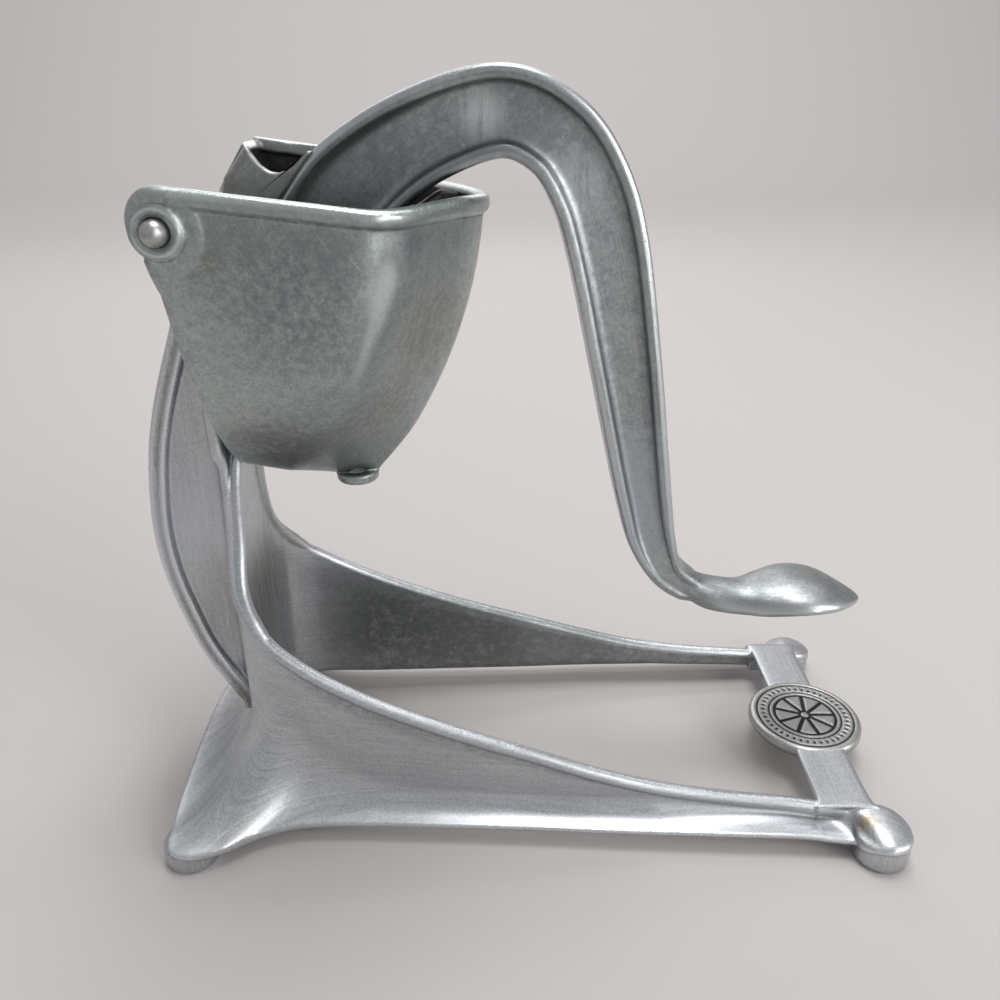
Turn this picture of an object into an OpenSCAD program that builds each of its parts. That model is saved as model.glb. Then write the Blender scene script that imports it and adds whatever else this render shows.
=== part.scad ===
// Hinged lemon squeezer, cast aluminium: a stand with two side rails carries a
// scoop-shaped cup, and a long lever on a cross pin drives a ribbed pressing head into it.
// X points to the front of the stand, Z up, and the model is symmetric about Y = 0.
// The origin is on the table, under the middle of the stand.

/* [Stand] */
// Overall length, from the back of the column to the front of the medallion
overall_len = 221; // [200:0.1:240]
// Distance of the medallion's front before the feet's
medallion_lead = 1.4; // [0:0.1:4]
// Distance between the rear and the front feet
foot_span = 200; // [185:1:215]
// Distance from the middle plane to the centre of a foot
foot_half_spacing = 46.2; // [43:0.1:50]
// Radius of a foot
foot_r = 8; // [7:0.1:9]
// Height of a foot's straight side
foot_h = 7; // [5:0.5:8]
// Thickness of the side rails and the front plate
rail_t = 3; // [2.6:0.1:4]
// Radius of the bead along the upper edge of the rails
bead_r = 2.1; // [1.8:0.1:2.6]
// Clear height under the lips of the rails
lip_clear = 4.2; // [3:0.1:5]
// Thickness of the lip at the foot of the rails
lip_t = 3; // [2:0.1:4]
// Thickness of the web in the column
web_t = 6; // [4:0.5:9]
// Width of the curved flange behind the column
flange_w = 15; // [11:0.5:20]
// Thickness of the curved flange behind the column
flange_t = 5; // [4:0.5:7]
// Width of the crossbar between the front feet
crossbar_w = 15.5; // [12:0.5:20]
// Thickness of the crossbar
crossbar_t = 3; // [2.5:0.5:5]
// Height of the crossbar's upper face
crossbar_top = 12.9; // [11:0.1:15]
// Radius of the medallion on the crossbar
medallion_r = 18.1; // [16:0.1:20]
// Thickness of the medallion
medallion_t = 4.6; // [3:0.1:7]

/* [Cup] */
// Half the width of the cup at its rim
cup_half_w = 40; // [36:0.5:42]
// Depth of the cup below the hinge pin
cup_depth = 67.6; // [62:0.1:70]
// Height of the rim above the hinge pin
rim_h = 9.3; // [8:0.1:11]
// How much the rim rises at the pouring tip
tip_rise = 2; // [0:0.1:3]
// Reach of the pouring tip in front of the hinge pin
cup_reach = 68; // [66:0.1:72]
// Length of the pointed part of the rim
tip_len = 21.5; // [15:0.1:24]
// Distance of the rear wall behind the hinge pin
cup_back = 4; // [3:0.5:6]
// Wall of the cup
cup_wall = 2.8; // [2.2:0.1:3.4]
// Height of the bead round the rim
rim_bead_h = 4; // [3:0.1:5]
// How far the rim bead stands out from the wall
rim_bead_out = 1.3; // [0.8:0.1:2]
// Forward tilt of the cup
cup_tilt = 6.4; // [4:0.1:9]
// Radius of the drip nub under the cup
nub_r = 6; // [5:0.5:8]
// Radius of the drip hole
outlet_r = 3.2; // [2.5:0.1:4]
// Distance of the drip nub in front of the hinge pin
nub_x = 31.3; // [28:0.1:34]
// Length of the drip nub below the floor of the cup
nub_len = 1.3; // [1:0.1:5]

/* [Hinge] */
// Height of the hinge pin above the table
hinge_z = 175; // [170:1:185]
// Distance of the hinge pin behind the middle of the stand
hinge_back = 82.2; // [80:0.1:84]
// Radius of the hinge pin
pin_r = 2.9; // [2.4:0.1:3.4]
// Radial clearance of the hinge pin
pin_clear = 0.05; // [0.02:0.01:0.1]
// Radius of the bosses that hold the pin
boss_r = 6; // [5.2:0.1:7]
// How far a boss stands out from the side of the cup
boss_out = 1.8; // [1:0.1:3]
// How far the domed ends of the pin stand out of the bosses
pin_out = 3.4; // [2.5:0.1:5]

/* [Lever] */
// Thickness of the lever's web
arm_web_t = 4; // [3:0.5:6]
// Width of the lever's flanges
arm_flange_w = 13; // [10:0.5:16]
// Thickness of the lever's flanges
arm_flange_t = 3.6; // [2.5:0.1:5]
// Width of the thumb pad
pad_w = 26.8; // [22:0.1:34]
// Thickness of the thumb pad at its middle
pad_t = 8; // [6:0.5:11]

/* [Pressing head] */
// Radius that the front of the head sweeps about the pin
press_reach = 62; // [56:0.5:63]
// Half the width of the head at its top
press_half_w = 32; // [28:0.5:33.5]
// Depth of the head below the hinge pin
press_depth = 44; // [40:0.5:46]
// Wall of the head
press_wall = 2.6; // [2:0.1:3.2]
// Number of ribs round the head
press_ribs = 18; // [12:2:24]
// Depth of the grooves between the ribs
rib_depth = 1.6; // [0.8:0.1:2]
// Side play of the hub between the bosses
hub_play = 0.4; // [0.3:0.1:0.8]
// Radius of the two lugs on the pin
hub_r = 5.6; // [5.2:0.1:6.2]
// Length of one lug
lug_len = 11; // [8:0.5:16]
// Half the width of the socket that takes the root of the lever
socket_half_w = 9.2; // [9:0.1:11]

/* [Strainer] */
// Thickness of the strainer plate
strainer_t = 1.2; // [0.8:0.1:2]
// Height of the strainer plate above the floor of the cup
strainer_up = 12; // [10:0.5:14]
// Radius of one strainer hole
hole_r = 1.4; // [1:0.1:1.8]
// Distance between strainer holes
hole_pitch = 5; // [4.2:0.1:7]
// Gap between the strainer and the wall of the cup
strainer_gap = 0.4; // [0.3:0.1:0.8]

/* [Rivets] */
// Radius of the rivet shanks
rivet_r = 2; // [1.6:0.1:2.4]
// Radius of the rivet heads
rivet_head_r = 2.7; // [2.4:0.1:3]
// Radial clearance of the rivets
rivet_clear = 0.05; // [0.02:0.01:0.1]

/* [Hidden] */
$fn = 48;
eps = 0.02;

// Places that several pieces share
back_x = -overall_len / 2;
foot_front = overall_len / 2 - medallion_lead - foot_r;
foot_rear = foot_front - foot_span;
pin_x = -hinge_back;
mount_x = pin_x - 2.5;
plate_back = mount_x - rail_t;
plate_half_w = 11.5;
plate_top = hinge_z - 16;
wall_top = 106;
boss_face = cup_half_w + boss_out;
boss_in = cup_half_w - 5.5;
hub_half = boss_in - hub_play;
rivet_y = 6.05;
cup_rivet_z = [hinge_z - 50, hinge_z - 32];
strainer_z = strainer_up + cup_wall - cup_depth;

// Catmull-Rom curve through a list of points, with n steps between neighbours
function at(p, i) = p[max(0, min(len(p) - 1, i))];
function curve_point(a, b, c, d, t) = 0.5 * (2 * b + (c - a) * t + (2 * a - 5 * b + 4 * c - d) * t * t
    + (3 * b - 3 * c + d - a) * t * t * t);
function curve(p, n) = [for (i = [0:len(p) - 2], j = [0:n - 1])
    curve_point(at(p, i - 1), at(p, i), at(p, i + 1), at(p, i + 2), j / n), p[len(p) - 1]];
function flip(p) = [for (i = [len(p) - 1:-1:0]) p[i]];
function unit(v) = v / norm(v);
// Unit tangent of a curve at point i
function tangent(p, i) = unit(at(p, i + 1) - at(p, i - 1));
// Smooth step from 0 to 1
function ease(t) = let (c = max(0, min(1, t))) c * c * (3 - 2 * c);

// Closed solid through rings of equal length. Each end is closed by a fan round its middle
function middle(ring) = [for (k = [0:2]) [for (p = ring) p[k]] * [for (p = ring) 1] / len(ring)];
module loft(rings) {
    m = len(rings[0]);
    n = len(rings);
    points = concat([for (r = rings) each r], [middle(rings[0]), middle(rings[n - 1])]);
    sides = [for (k = [0:n - 2], i = [0:m - 1]) let (j = (i + 1) % m, a = k * m, b = a + m)
        each [[a + i, b + j, a + j], [a + i, b + i, b + j]]];
    caps = [for (i = [0:m - 1]) let (j = (i + 1) % m, a = (n - 1) * m)
        each [[i, j, n * m], [a + j, a + i, n * m + 1]]];
    polyhedron(points, concat(sides, caps), convexity = 8);
}

// Plate with the outline p in X and Z, w wide in Y and centred on y
module side_plate(p, w, y = 0) {
    translate([0, y, 0]) rotate([90, 0, 0]) linear_extrude(w, center = true) polygon(p);
}

// Rod along Y between two places
module cross_rod(r, from, to) {
    translate([0, from, 0]) rotate([-90, 0, 0]) cylinder(r = r, h = to - from);
}

// Places its children in the cup's own frame: the pin is the origin and the rim is level
module at_cup() {
    translate([pin_x, 0, hinge_z]) rotate([0, cup_tilt, 0]) children();
}

// ---- Stand ----
// The side wall, from the middle of the column to the end of a rail. Each row holds the inner face
// in plan, the height of the upper edge, and the lip at the foot of the wall.
wall_x = mount_x + 1.5;
lip_x = foot_rear + 2;
wall_rows = [
    [wall_x, 0, wall_top, back_x + 4.5, 0, 13.5],
    [wall_x, 8, wall_top, back_x + 4.6, 12, 13],
    [wall_x, 12, wall_top - 2, back_x + 4.8, 20, 12.2],
    [wall_x + 0.1, 13, wall_top - 11, back_x + 4.9, 26, 11.5],
    [wall_x + 0.3, 15.2, wall_top - 22, back_x + 5, 31.5, 10.7],
    [wall_x + 1, 18.3, wall_top - 28, back_x + 5, 37, 9.7],
    [wall_x + 2.4, 21.3, wall_top - 33.3, foot_rear - 6.2, 42, 8.9],
    [wall_x + 4.9, 23.7, wall_top - 37.3, foot_rear - 5.8, 48.8, 8.2],
    [wall_x + 7.9, 25.6, wall_top - 41.4, foot_rear - 3.6, 53, 7.8],
    [wall_x + 11.1, 27, wall_top - 44.8, lip_x, 54, 7.5],
    [wall_x + 15, 28, wall_top - 47.8, lip_x + 8, 51, 7.3],
    [wall_x + 20.5, 29, wall_top - 51.5, lip_x + 17, 45.2, 7.2],
    [wall_x + 28.5, 29.9, wall_top - 56, lip_x + 29, 41.8, 7.2],
    [wall_x + 41.2, 31, wall_top - 62, lip_x + 49, 41.4, 7.2],
    [wall_x + 62.5, 32.2, wall_top - 70.2, lip_x + 74, 42.2, 7.2],
    [wall_x + 83.5, 33.2, wall_top - 77, lip_x + 97, 43, 7.2],
    [wall_x + 101.7, 34.2, wall_top - 83, lip_x + 115.4, 44, 7.2],
    [wall_x + 120.5, 34.6, wall_top - 88.1, lip_x + 134.2, 44.8, 7.2],
    [wall_x + 141.4, 34.9, wall_top - 91.4, lip_x + 155, 45.6, 7.2],
    [foot_front - 23.8, 35.6, crossbar_top - 0.2, foot_front - 23.8, 46.3, 7.2],
    [foot_front - 6, 37.2, crossbar_top - 2.4, foot_front - 8, 47.5, 6.2]];
cove_steps = 5;
wall_steps = 2;
bead_steps = 8;

// Rounded upper edge of the wall: an arc of radius b from the inner face over to the outer one
function edge_arc(inner, n, top, b) = let (last = -acos(min(1, (rail_t - b) / b)))
    [for (k = [0:bead_steps]) let (a = 180 + (last - 180) * k / bead_steps)
        lifted(inner + b * (1 + cos(a)) * n, top - 0.8 * b + b * sin(a))];

// One section of the side wall: face, cove and lip, for row r with outward normal n
function bezier(a, b, c, n) = [for (k = [0:n]) let (t = k / n) a * (1 - t) * (1 - t) + b * 2 * t * (1 - t) + c * t * t];
function lifted(p, z) = [p[0], p[1], z];
function wall_ring(r, n, b) = let (
    inner = [r[0], r[1]],
    outer = inner + rail_t * n,
    lip = [r[3], r[4]],
    heel = lip - 0.8 * rail_t * unit(lip - outer),
    cove = min(norm(lip - outer), 0.7 * (r[2] - r[5]), r[2] - r[5] - 1.8 * b - 0.1),
    bend = r[5] + 0.22 * cove)
    concat(edge_arc(inner, n, r[2], b),
        bezier(lifted(outer, r[5] + cove), lifted(outer, bend), lifted(lip, r[5]), cove_steps),
        bezier(lifted(heel, r[5] - lip_t), lifted(inner, bend - 0.8 * lip_t), lifted(inner, r[5] + cove), cove_steps));

wall_half = curve(wall_rows, wall_steps);
wall_normals = [for (i = [0:len(wall_half) - 1]) let (t = tangent([for (r = wall_half) [r[0], r[1]]], i))
    i == 0 ? [-1, 0] : [-t[1], t[0]]];

// The edge swells from a plain rounding at the column into the bead of the rail
function edge_radius(i) = rail_t / 2 + (bead_r - rail_t / 2) * ease(i / (3 * wall_steps));

module side_wall() {
    far = [for (i = [0:len(wall_half) - 1]) flip(wall_ring(wall_half[i], wall_normals[i], edge_radius(i)))];
    near = [for (i = [len(far) - 1:-1:1]) [for (p = far[i]) [p[0], -p[1], p[2]]]];
    loft(concat(near, far));
}

// Bead along one edge of the column plate, rounded at both ends; side is 1 or -1
column_edge = [[plate_top, plate_half_w], [140, plate_half_w], [124, plate_half_w], [wall_top + 3, 12]];
bead_low = wall_top - 7;
module column_bead(side) {
    translate([mount_x - bead_r - 0.15, side * (plate_half_w - 0.4), 0]) rotate_extrude()
        polygon(concat([for (a = [-90:15:0]) [bead_r * cos(a), bead_low + bead_r * sin(a)]],
            [for (a = [0:15:90]) [bead_r * cos(a), plate_top - bead_r + bead_r * sin(a)]]));
}

// Front face of the column, which narrows upwards and carries the cup
module column_plate() {
    edge = concat(column_edge, [[wall_top - 10, 12.6], [wall_top - 22, 14.4], [wall_top - 36, 15]]);
    half = [for (e = curve(edge, 2)) [e[1], e[0]]];
    outline = concat(half, flip([for (p = half) [-p[0], p[1]]]));
    translate([plate_back, 0, 0]) rotate([90, 0, 90]) linear_extrude(rail_t) polygon(outline);
}

// Curved flange behind the column, from the top of the plate down to the apron
flange_rows = [[plate_back + 1, plate_top - 0.5], [back_x + 18, hinge_z - 21], [back_x + 12.9, 142],
    [back_x + 6.6, 125], [back_x + 2.4, 109], [back_x, 89], [back_x + 0.7, 73], [back_x + 3.8, 58],
    [back_x + 8.8, 42], [back_x + 18.5, 24]];

// Row of points inside the flange's outer face, kept behind the plate's front
function flange_inside(back, depth) = [for (i = [0:len(back) - 1]) let (t = tangent(back, i), p = back[i] + depth * [-t[1], t[0]])
    [min(p[0], plate_back + 1), p[1]]];

module column_back() {
    back = curve(flange_rows, 4);
    side_plate(concat(back, flip(flange_inside(back, flange_t))), flange_w);
    web = [for (p = flange_inside(back, flange_t / 2)) if (p[0] < plate_back - 1) p];
    side_plate(concat(web, [[plate_back + 0.5, 24], [plate_back + 0.5, web[0][1]]]), web_t);
}

// Rounded end of a rail over its front foot; side is 1 or -1
toe_low = 3.2;
toe_wall = 2.4;
toe_h = 3;
toe_in = 1.6;
module toe(side) {
    hull() {
        translate([foot_front, side * foot_half_spacing, toe_low]) cylinder(r = foot_r - 0.4, h = toe_wall, $fn = 32);
        translate([foot_front, side * (foot_half_spacing - toe_in), toe_low + toe_wall])
            rotate_extrude($fn = 32) polygon([[0, 0], [foot_r - 2, 0.2], [0.6 * foot_r, 0.6 * toe_h], [0.3 * foot_r, toe_h], [0, toe_h]]);
        translate([foot_front + 0.6, side * (foot_half_spacing - 5), crossbar_top - 4]) sphere(r = 3.6, $fn = 24);
        translate([foot_front - 15, side * 40.4, crossbar_top - 5]) sphere(r = 3.6, $fn = 24);
        translate([foot_front - 15, side * 42.5, lip_clear]) cylinder(r = 3.8, h = lip_t, $fn = 24);
    }
}

// Round foot; the front ones end inside the toes
module foot(x, side, h) {
    translate([x, side * foot_half_spacing, 0]) {
        cylinder(r1 = foot_r - 0.6, r2 = foot_r, h = 0.6);
        translate([0, 0, 0.6]) cylinder(r = foot_r, h = h - 0.6);
    }
}

// Crossbar between the front feet, with the medallion in its middle
bar_x = foot_front - 8.7;
edge_r = 1.2;
module crossbar() {
    translate([bar_x - crossbar_w / 2, -foot_half_spacing + 6, crossbar_top - crossbar_t])
        cube([crossbar_w, 2 * foot_half_spacing - 12, crossbar_t]);
    translate([bar_x, 0, crossbar_top - medallion_t]) rotate_extrude($fn = 96)
        polygon([[0, 0], [medallion_r - 2 * edge_r, 0], [medallion_r, 2 * edge_r],
            for (a = [0:30:90]) [medallion_r - edge_r * (1 - cos(a)), medallion_t + 0.4 - edge_r * (1 - sin(a))],
            [0, medallion_t + 0.4]]);
}

module cup_rivet_holes(r) {
    for (z = cup_rivet_z, y = [-rivet_y, rivet_y])
        translate([plate_back - 10, y, z]) rotate([0, 90, 0]) cylinder(r = r, h = 30);
}

module stand() {
    color("lightsteelblue") difference() {
        union() {
            side_wall();
            column_plate();
            column_back();
            crossbar();
            for (side = [-1, 1]) {
                column_bead(side);
                toe(side);
                foot(foot_front, side, toe_low + 1);
                foot(foot_rear, side, foot_h);
            }
        }
        cup_rivet_holes(rivet_r + rivet_clear);
    }
}

// ---- Cup ----
// Outline of the cup at height z (0 at the pin) and angle a. It is a rounded polygon: a straight back,
// two straight sides and a blunt point, blended by a sum of high powers. grow moves the wall outwards.
blend = 12;
back_blend = 40;
cup_steps = 48;
function cup_sink(z, grow) = min(0, z) / (cup_depth + grow);
function cup_w(z, grow) = (cup_half_w + grow) * sqrt(1 - pow(cup_sink(z, grow), 2));
function cup_rear(z, grow) = -cup_back - 0.21 * min(0, z) - grow;
// Share of the lowest quarter, where the floor slopes down to the drip nub
function cup_low(z, grow) = ease((-cup_sink(z, grow) - 0.75) / 0.25);
function cup_front(z, grow) = let (s = cup_sink(z, grow))
    cup_reach + 2.8 * s - 18.4 * s * s - 3.4 * cup_low(z, grow) + 1.05 * grow;
function cup_point(z, grow) = tip_len + 3.7 * min(0.8, -cup_sink(z, grow));
// Distance from the middle to a rounded polygon in direction d, for face normals n at distances h
function rounded(d, n, h) = let (p = d[0] > 0 ? blend : back_blend)
    pow([for (i = [0:len(n) - 1]) pow(max(0, d * n[i]) / h[i], p)] * [for (i = n) 1], -1 / p);
function wedge_ring(rear, front, half_w, point, steps) = let (
    middle = rear + 0.48 * (front - rear),
    reach = (front - middle) * pow(2, 1 / blend),
    b = atan(point / half_w),
    n = [[-1, 0], [0, 1], [0, -1], [cos(b), sin(b)], [cos(b), -sin(b)]],
    h = [middle - rear, half_w, half_w, reach * cos(b), reach * cos(b)])
    [for (i = [0:steps - 1]) let (a = 360 * i / steps, d = unit([(front - rear) / 2 * cos(a), half_w * sin(a)]))
        [middle, 0] + d * rounded(d, n, h)];
function cup_ring(z, grow) = wedge_ring(cup_rear(z, grow), cup_front(z, grow), cup_w(z, grow), cup_point(z, grow), cup_steps);
// The same ring in space, with the rim's rise towards the pouring tip and the floor's fall to the nub
floor_fall = 0.08;
floor_from = 12;
function cup_level(z, grow) = [for (p = cup_ring(z, grow))
    [p[0], p[1], z + tip_rise * ease(z / rim_h) * ease((p[0] - cup_reach + tip_len + 4) / (tip_len + 2))
        - floor_fall * max(0, p[0] - floor_from) * cup_low(z, grow)]];
dip = [for (a = [85:-8.5:0]) -sin(a)];
rim_low = rim_h - rim_bead_h;
cup_outer = concat([for (s = dip) cup_level(s * cup_depth, 0)],
    [cup_level(rim_low - rim_bead_out, 0), cup_level(rim_low, 0.7 * rim_bead_out), cup_level(rim_low + 1, rim_bead_out),
    cup_level(rim_h - 0.9, rim_bead_out), cup_level(rim_h - 0.1, 0.5 * rim_bead_out), cup_level(rim_h, 0)]);
cup_inner = concat([cup_level(rim_h, -cup_wall + 1), cup_level(rim_h - 0.4, -cup_wall + 0.2), cup_level(rim_h - 1.2, -cup_wall)],
    [for (s = flip(dip)) cup_level(s * (cup_depth - cup_wall), -cup_wall)]);

// Space inside the cup, up to a height
module cup_space(top) {
    loft(concat([for (s = dip) cup_level(s * (cup_depth - cup_wall), -cup_wall)], [cup_level(top, -cup_wall)]));
}

back_gap = 9;
pad_half_w = 8.8;
// The nub ends inside the floor of the cup
nub_top = nub_len + 0.6 * cup_wall;
nub_reach = nub_x / cos(cup_tilt) + cup_depth * tan(cup_tilt);
nub_drop = (cup_depth + floor_fall * (nub_reach - floor_from)) / cos(cup_tilt) + nub_x * tan(cup_tilt) + nub_len;
ear_r = boss_r + 0.6;
ear_end = 1.5;
ear_t = 3.4;

// Everything cut away between and round the ears
module ear_cuts() {
    translate([-15, -boss_in, -back_gap]) cube([15 + hub_r + 1.5, 2 * boss_in, 30]);
    translate([-20, -60, -3]) cube([20 + ear_end, 120, 30]);
}

// Rounded ear that carries the pin: a spiral from the boss up to the rim
module ear(side) {
    outline = concat([for (a = [250:-20:90]) (ear_r + (rim_h - ear_r) * ease((190 - a) / 100)) * [cos(a), sin(a)]],
        [[ear_end + 2, rim_h], [ear_end + 2, -ear_r - 4], [-1, -ear_r - 4]]);
    side_plate(outline, ear_t, side * (cup_half_w - ear_t / 2));
    translate([2, 0, 0]) cross_rod(boss_r + 1.4, side > 0 ? cup_half_w - 1 : -cup_half_w - 0.7,
        side > 0 ? cup_half_w + 0.7 : 1 - cup_half_w);
    cross_rod(boss_r, side > 0 ? boss_in : -boss_face, side > 0 ? boss_face : -boss_in);
}

module drip_nub() {
    translate([pin_x + nub_x, 0, hinge_z - nub_drop]) rotate_extrude()
        polygon([[0, 0], [nub_r - 1, 0], [nub_r, 1], [nub_r, nub_top], [0, nub_top]]);
}

ledge_x = [16, 40];
module strainer_ledges() {
    for (x = ledge_x, side = [-1, 1])
        translate([x - 2.5, side > 0 ? 16 : -26, strainer_z - 4]) cube([5, 10, 4]);
}

module juice_cup() {
    color("silver") difference() {
        union() {
            at_cup() {
                difference() {
                    loft(concat(cup_outer, cup_inner));
                    ear_cuts();
                }
                for (side = [-1, 1]) ear(side);
                intersection() {
                    strainer_ledges();
                    loft([for (z = [strainer_z - 10, strainer_z + 1]) [for (p = cup_ring(z, -1)) [p[0], p[1], z]]]);
                }
            }
            difference() {
                union() {
                    drip_nub();
                    translate([mount_x, -pad_half_w, cup_rivet_z[0] - 8])
                        cube([9, 2 * pad_half_w, cup_rivet_z[1] - cup_rivet_z[0] + 16]);
                }
                at_cup() cup_space(5);
            }
        }
        at_cup() cross_rod(pin_r + pin_clear, -60, 60);
        translate([pin_x + nub_x, 0, hinge_z - nub_drop - 1]) cylinder(r = outlet_r, h = 20);
        cup_rivet_holes(rivet_r + rivet_clear);
        for (z = cup_rivet_z, y = [-rivet_y, rivet_y]) translate([seat_x(z), y, z]) rotate([0, 90, 0])
            cylinder(r = rivet_head_r + 0.3, h = 6);
    }
}
// Seat of a rivet's inner head, cut flat into the sloping back of the cup
function seat_x(z) = let (d = z - hinge_z) pin_x + cup_rear(d, 0) + cup_wall + d * sin(cup_tilt) - 0.8;

// Rivet head: a low dome on the plane x = 0, bulging towards +X
module rivet_head(r) {
    rotate([0, 90, 0]) rotate_extrude() polygon([[0, 0], [r, 0], for (a = [0:15:75]) [r * cos(a), 0.35 * r * sin(a) + 0.3],
        [0, 0.35 * r + 0.3]]);
}

module cup_rivets() {
    color("gainsboro") for (z = cup_rivet_z, y = [-rivet_y, rivet_y]) translate([0, y, z]) {
        translate([plate_back - 0.2, 0, 0]) rotate([0, 90, 0]) cylinder(r = rivet_r, h = seat_x(z) - plate_back + 0.4);
        translate([seat_x(z), 0, 0]) rivet_head(rivet_head_r);
        translate([plate_back, 0, 0]) mirror([1, 0, 0]) rivet_head(rivet_head_r);
    }
}

module hinge_pin() {
    pin_half = boss_face + pin_out - pin_r;
    color("whitesmoke") translate([pin_x, 0, hinge_z]) {
        cross_rod(pin_r, -pin_half, pin_half);
        for (side = [-1, 1]) translate([0, side * pin_half, 0]) sphere(r = pin_r);
    }
}

// ---- Strainer ----
module strainer() {
    edge = cup_ring(strainer_z, -cup_wall - strainer_gap);
    half_w = cup_w(strainer_z, -cup_wall) - 5;
    back = cup_rear(strainer_z, 0) + 8;
    front = cup_front(strainer_z, 0) - 10;
    color("darkgray") at_cup() translate([0, 0, strainer_z]) linear_extrude(strainer_t) difference() {
        polygon(edge);
        for (i = [0:floor((front - back) / hole_pitch)], j = [-4:4]) {
            x = back + i * hole_pitch;
            y = j * hole_pitch + (i % 2) * hole_pitch / 2;
            if (abs(y) < half_w - 0.46 * max(0, x - 30)) translate([x, y]) circle(r = hole_r, $fn = 16);
        }
    }
}

// ---- Pressing head ----
press_steps = 4 * press_ribs;
function press_w(z) = let (s = min(0, z - 4) / cup_depth) press_half_w * sqrt(1 - s * s);
function press_front(z) = sqrt(press_reach * press_reach - z * z);
function press_rear(z) = cup_rear(z, 0) + cup_wall + 3.6;
// Ring of the head at height z, moved inwards by inset, with ribs of depth deep
function press_ring(z, inset, deep) = let (
    base = wedge_ring(press_rear(z) + inset, press_front(z) - 1.1 * inset, press_w(z) - inset,
        0.46 * press_w(z) + 4, press_steps),
    c = [(press_rear(z) + press_front(z)) / 2, 0])
    [for (i = [0:press_steps - 1]) let (d = unit(base[i] - c), g = deep * (1 - cos(360 * press_ribs * i / press_steps)) / 2)
        base[i] - g * d];
front_rise = 7.5;
function press_level(z, inset, deep, rise) = [for (p = press_ring(z, inset, deep))
    let (lift = rise * front_rise * ease((p[0] - 47) / 12)) [p[0] - lift * 0.12, p[1], z + lift]];
press_top = 3;
press_zs = [for (k = [0:7]) -press_depth + k * (press_depth + press_top) / 7];
socket_wall = 2.2;

// Cheek of the socket: near has the wavy upper edge
module cheek(top, y) {
    side_plate(concat([[30, -press_depth + 1], [14, -press_depth + 1], [3.2, 0], [4.6, 8.4]], top, [[34, 4]]), socket_wall, y);
}

module presser() {
    near_top = concat([[9.8, 16.2]], [for (a = [0:20:180]) [17.2 - 6.2 * cos(a), 12.8 - 3 * sin(a) + 1.4 * (1 - a / 90)]]);
    far_top = [[8.6, 17.4], [24, 17.2]];
    y = socket_half_w - socket_wall / 2;
    color("slategray") difference() {
        at_cup() {
            loft(concat(
                [for (k = [0:7]) press_level(press_zs[k], k == 0 ? 3 : 0, k == 0 ? 0 : rib_depth, k == 7 ? 1 : 0)],
                [for (k = [7:-1:1]) press_level(press_zs[k], press_wall + rib_depth / 2, 0, k == 7 ? 1 : 0)],
                [press_level(press_zs[0] + press_wall, press_wall + rib_depth + 2, 0, 0)]));
            for (side = [-1, 1]) cross_rod(hub_r, side > 0 ? hub_half - lug_len : -hub_half,
                side > 0 ? hub_half : lug_len - hub_half);
            cheek(near_top, -y);
            cheek(far_top, y);
            side_plate([[3.2, -3], [4.6, 8.4], [9.2, 16.9], [11.4, 15.6], [7.2, 8], [6, -3]], 2 * y);
        }
        at_cup() cross_rod(pin_r + pin_clear, -60, 60);
        lever_rivet_holes(rivet_r + rivet_clear);
    }
}

// ---- Lever ----
// Middle line of the arm in X and Z, with its depth at each place
arm_shape = [[16, -18.8, 23], [26.5, -6, 24.5], [36.5, 5.6, 25], [52.7, 16.4, 22.5], [72.3, 22.4, 21.2],
    [86.1, 17.2, 20.6], [94.8, 5.6, 21], [100.4, -11, 21], [106.7, -41, 19.3], [111.3, -65, 17.4],
    [114.3, -80, 16], [117.5, -93.2, 14], [123, -104.8, 10.2], [131.6, -111.6, 8.8], [139.5, -113.4, 8.8]];
arm_rows = [for (r = arm_shape) [pin_x + r[0], hinge_z + r[1], r[2]]];
arm_steps = 4;
arm_curve = curve(arm_rows, arm_steps);
// One edge of the arm: side is 1 or -1, in is the distance inside the outer face
function arm_edge(side, in) = [for (i = [0:len(arm_curve) - 1]) let (
    t = tangent([for (p = arm_curve) [p[0], p[1]]], i), w = side * (arm_curve[i][2] / 2 - in))
    [arm_curve[i][0] - w * t[1], arm_curve[i][1] + w * t[0]]];
root_rows = 5;
lever_rivet_at = [[pin_x + 15.9, hinge_z - 16.5], [pin_x + 24.5, hinge_z - 11.5]];

// Thumb pad: half width, edge height, crown and underside at each place along X
pad_shape = [[135.5, 4.6, -115.2, -109.4, -117.9], [141.5, 5.8, -116, -109.4, -118.8], [147.5, 8.2, -115.8, -110.2, -118.4],
    [153.5, 11, -114.9, -108.7, -117.2], [160.5, 13.2, -113.4, -107.4, -115.6], [167.5, 13.4, -112.8, -107.8, -114.9],
    [173.5, 11.4, -113.2, -109.4, -115.2], [179, 7.2, -114.1, -112.2, -115.9], [182.5, 3.4, -114.9, -114, -116.6],
    [183.7, 1.4, -115.3, -114.9, -116.5]];
pad_widest = max([for (r = pad_shape) r[1]]);
pad_rows = [for (r = pad_shape) [pin_x + r[0], r[1], hinge_z + r[2], hinge_z + r[3], hinge_z + r[4]]];
function pad_ring(r) = let (b = r[1] * pad_w / (2 * pad_widest), rise = (r[3] - r[2]) * pad_t / 8)
    [for (a = [0:20:180]) [r[0], b * cos(a), r[2] + rise * sin(a)],
    for (a = [160:-20:20]) [r[0], (b - 0.8) * cos(a), r[2] - 1.6 + (r[4] - r[2] + 1.6) * sin(a)]];

module lever_rivet_holes(r) {
    for (p = lever_rivet_at) translate([p[0], 0, p[1]]) cross_rod(r, -30, 30);
}

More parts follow.
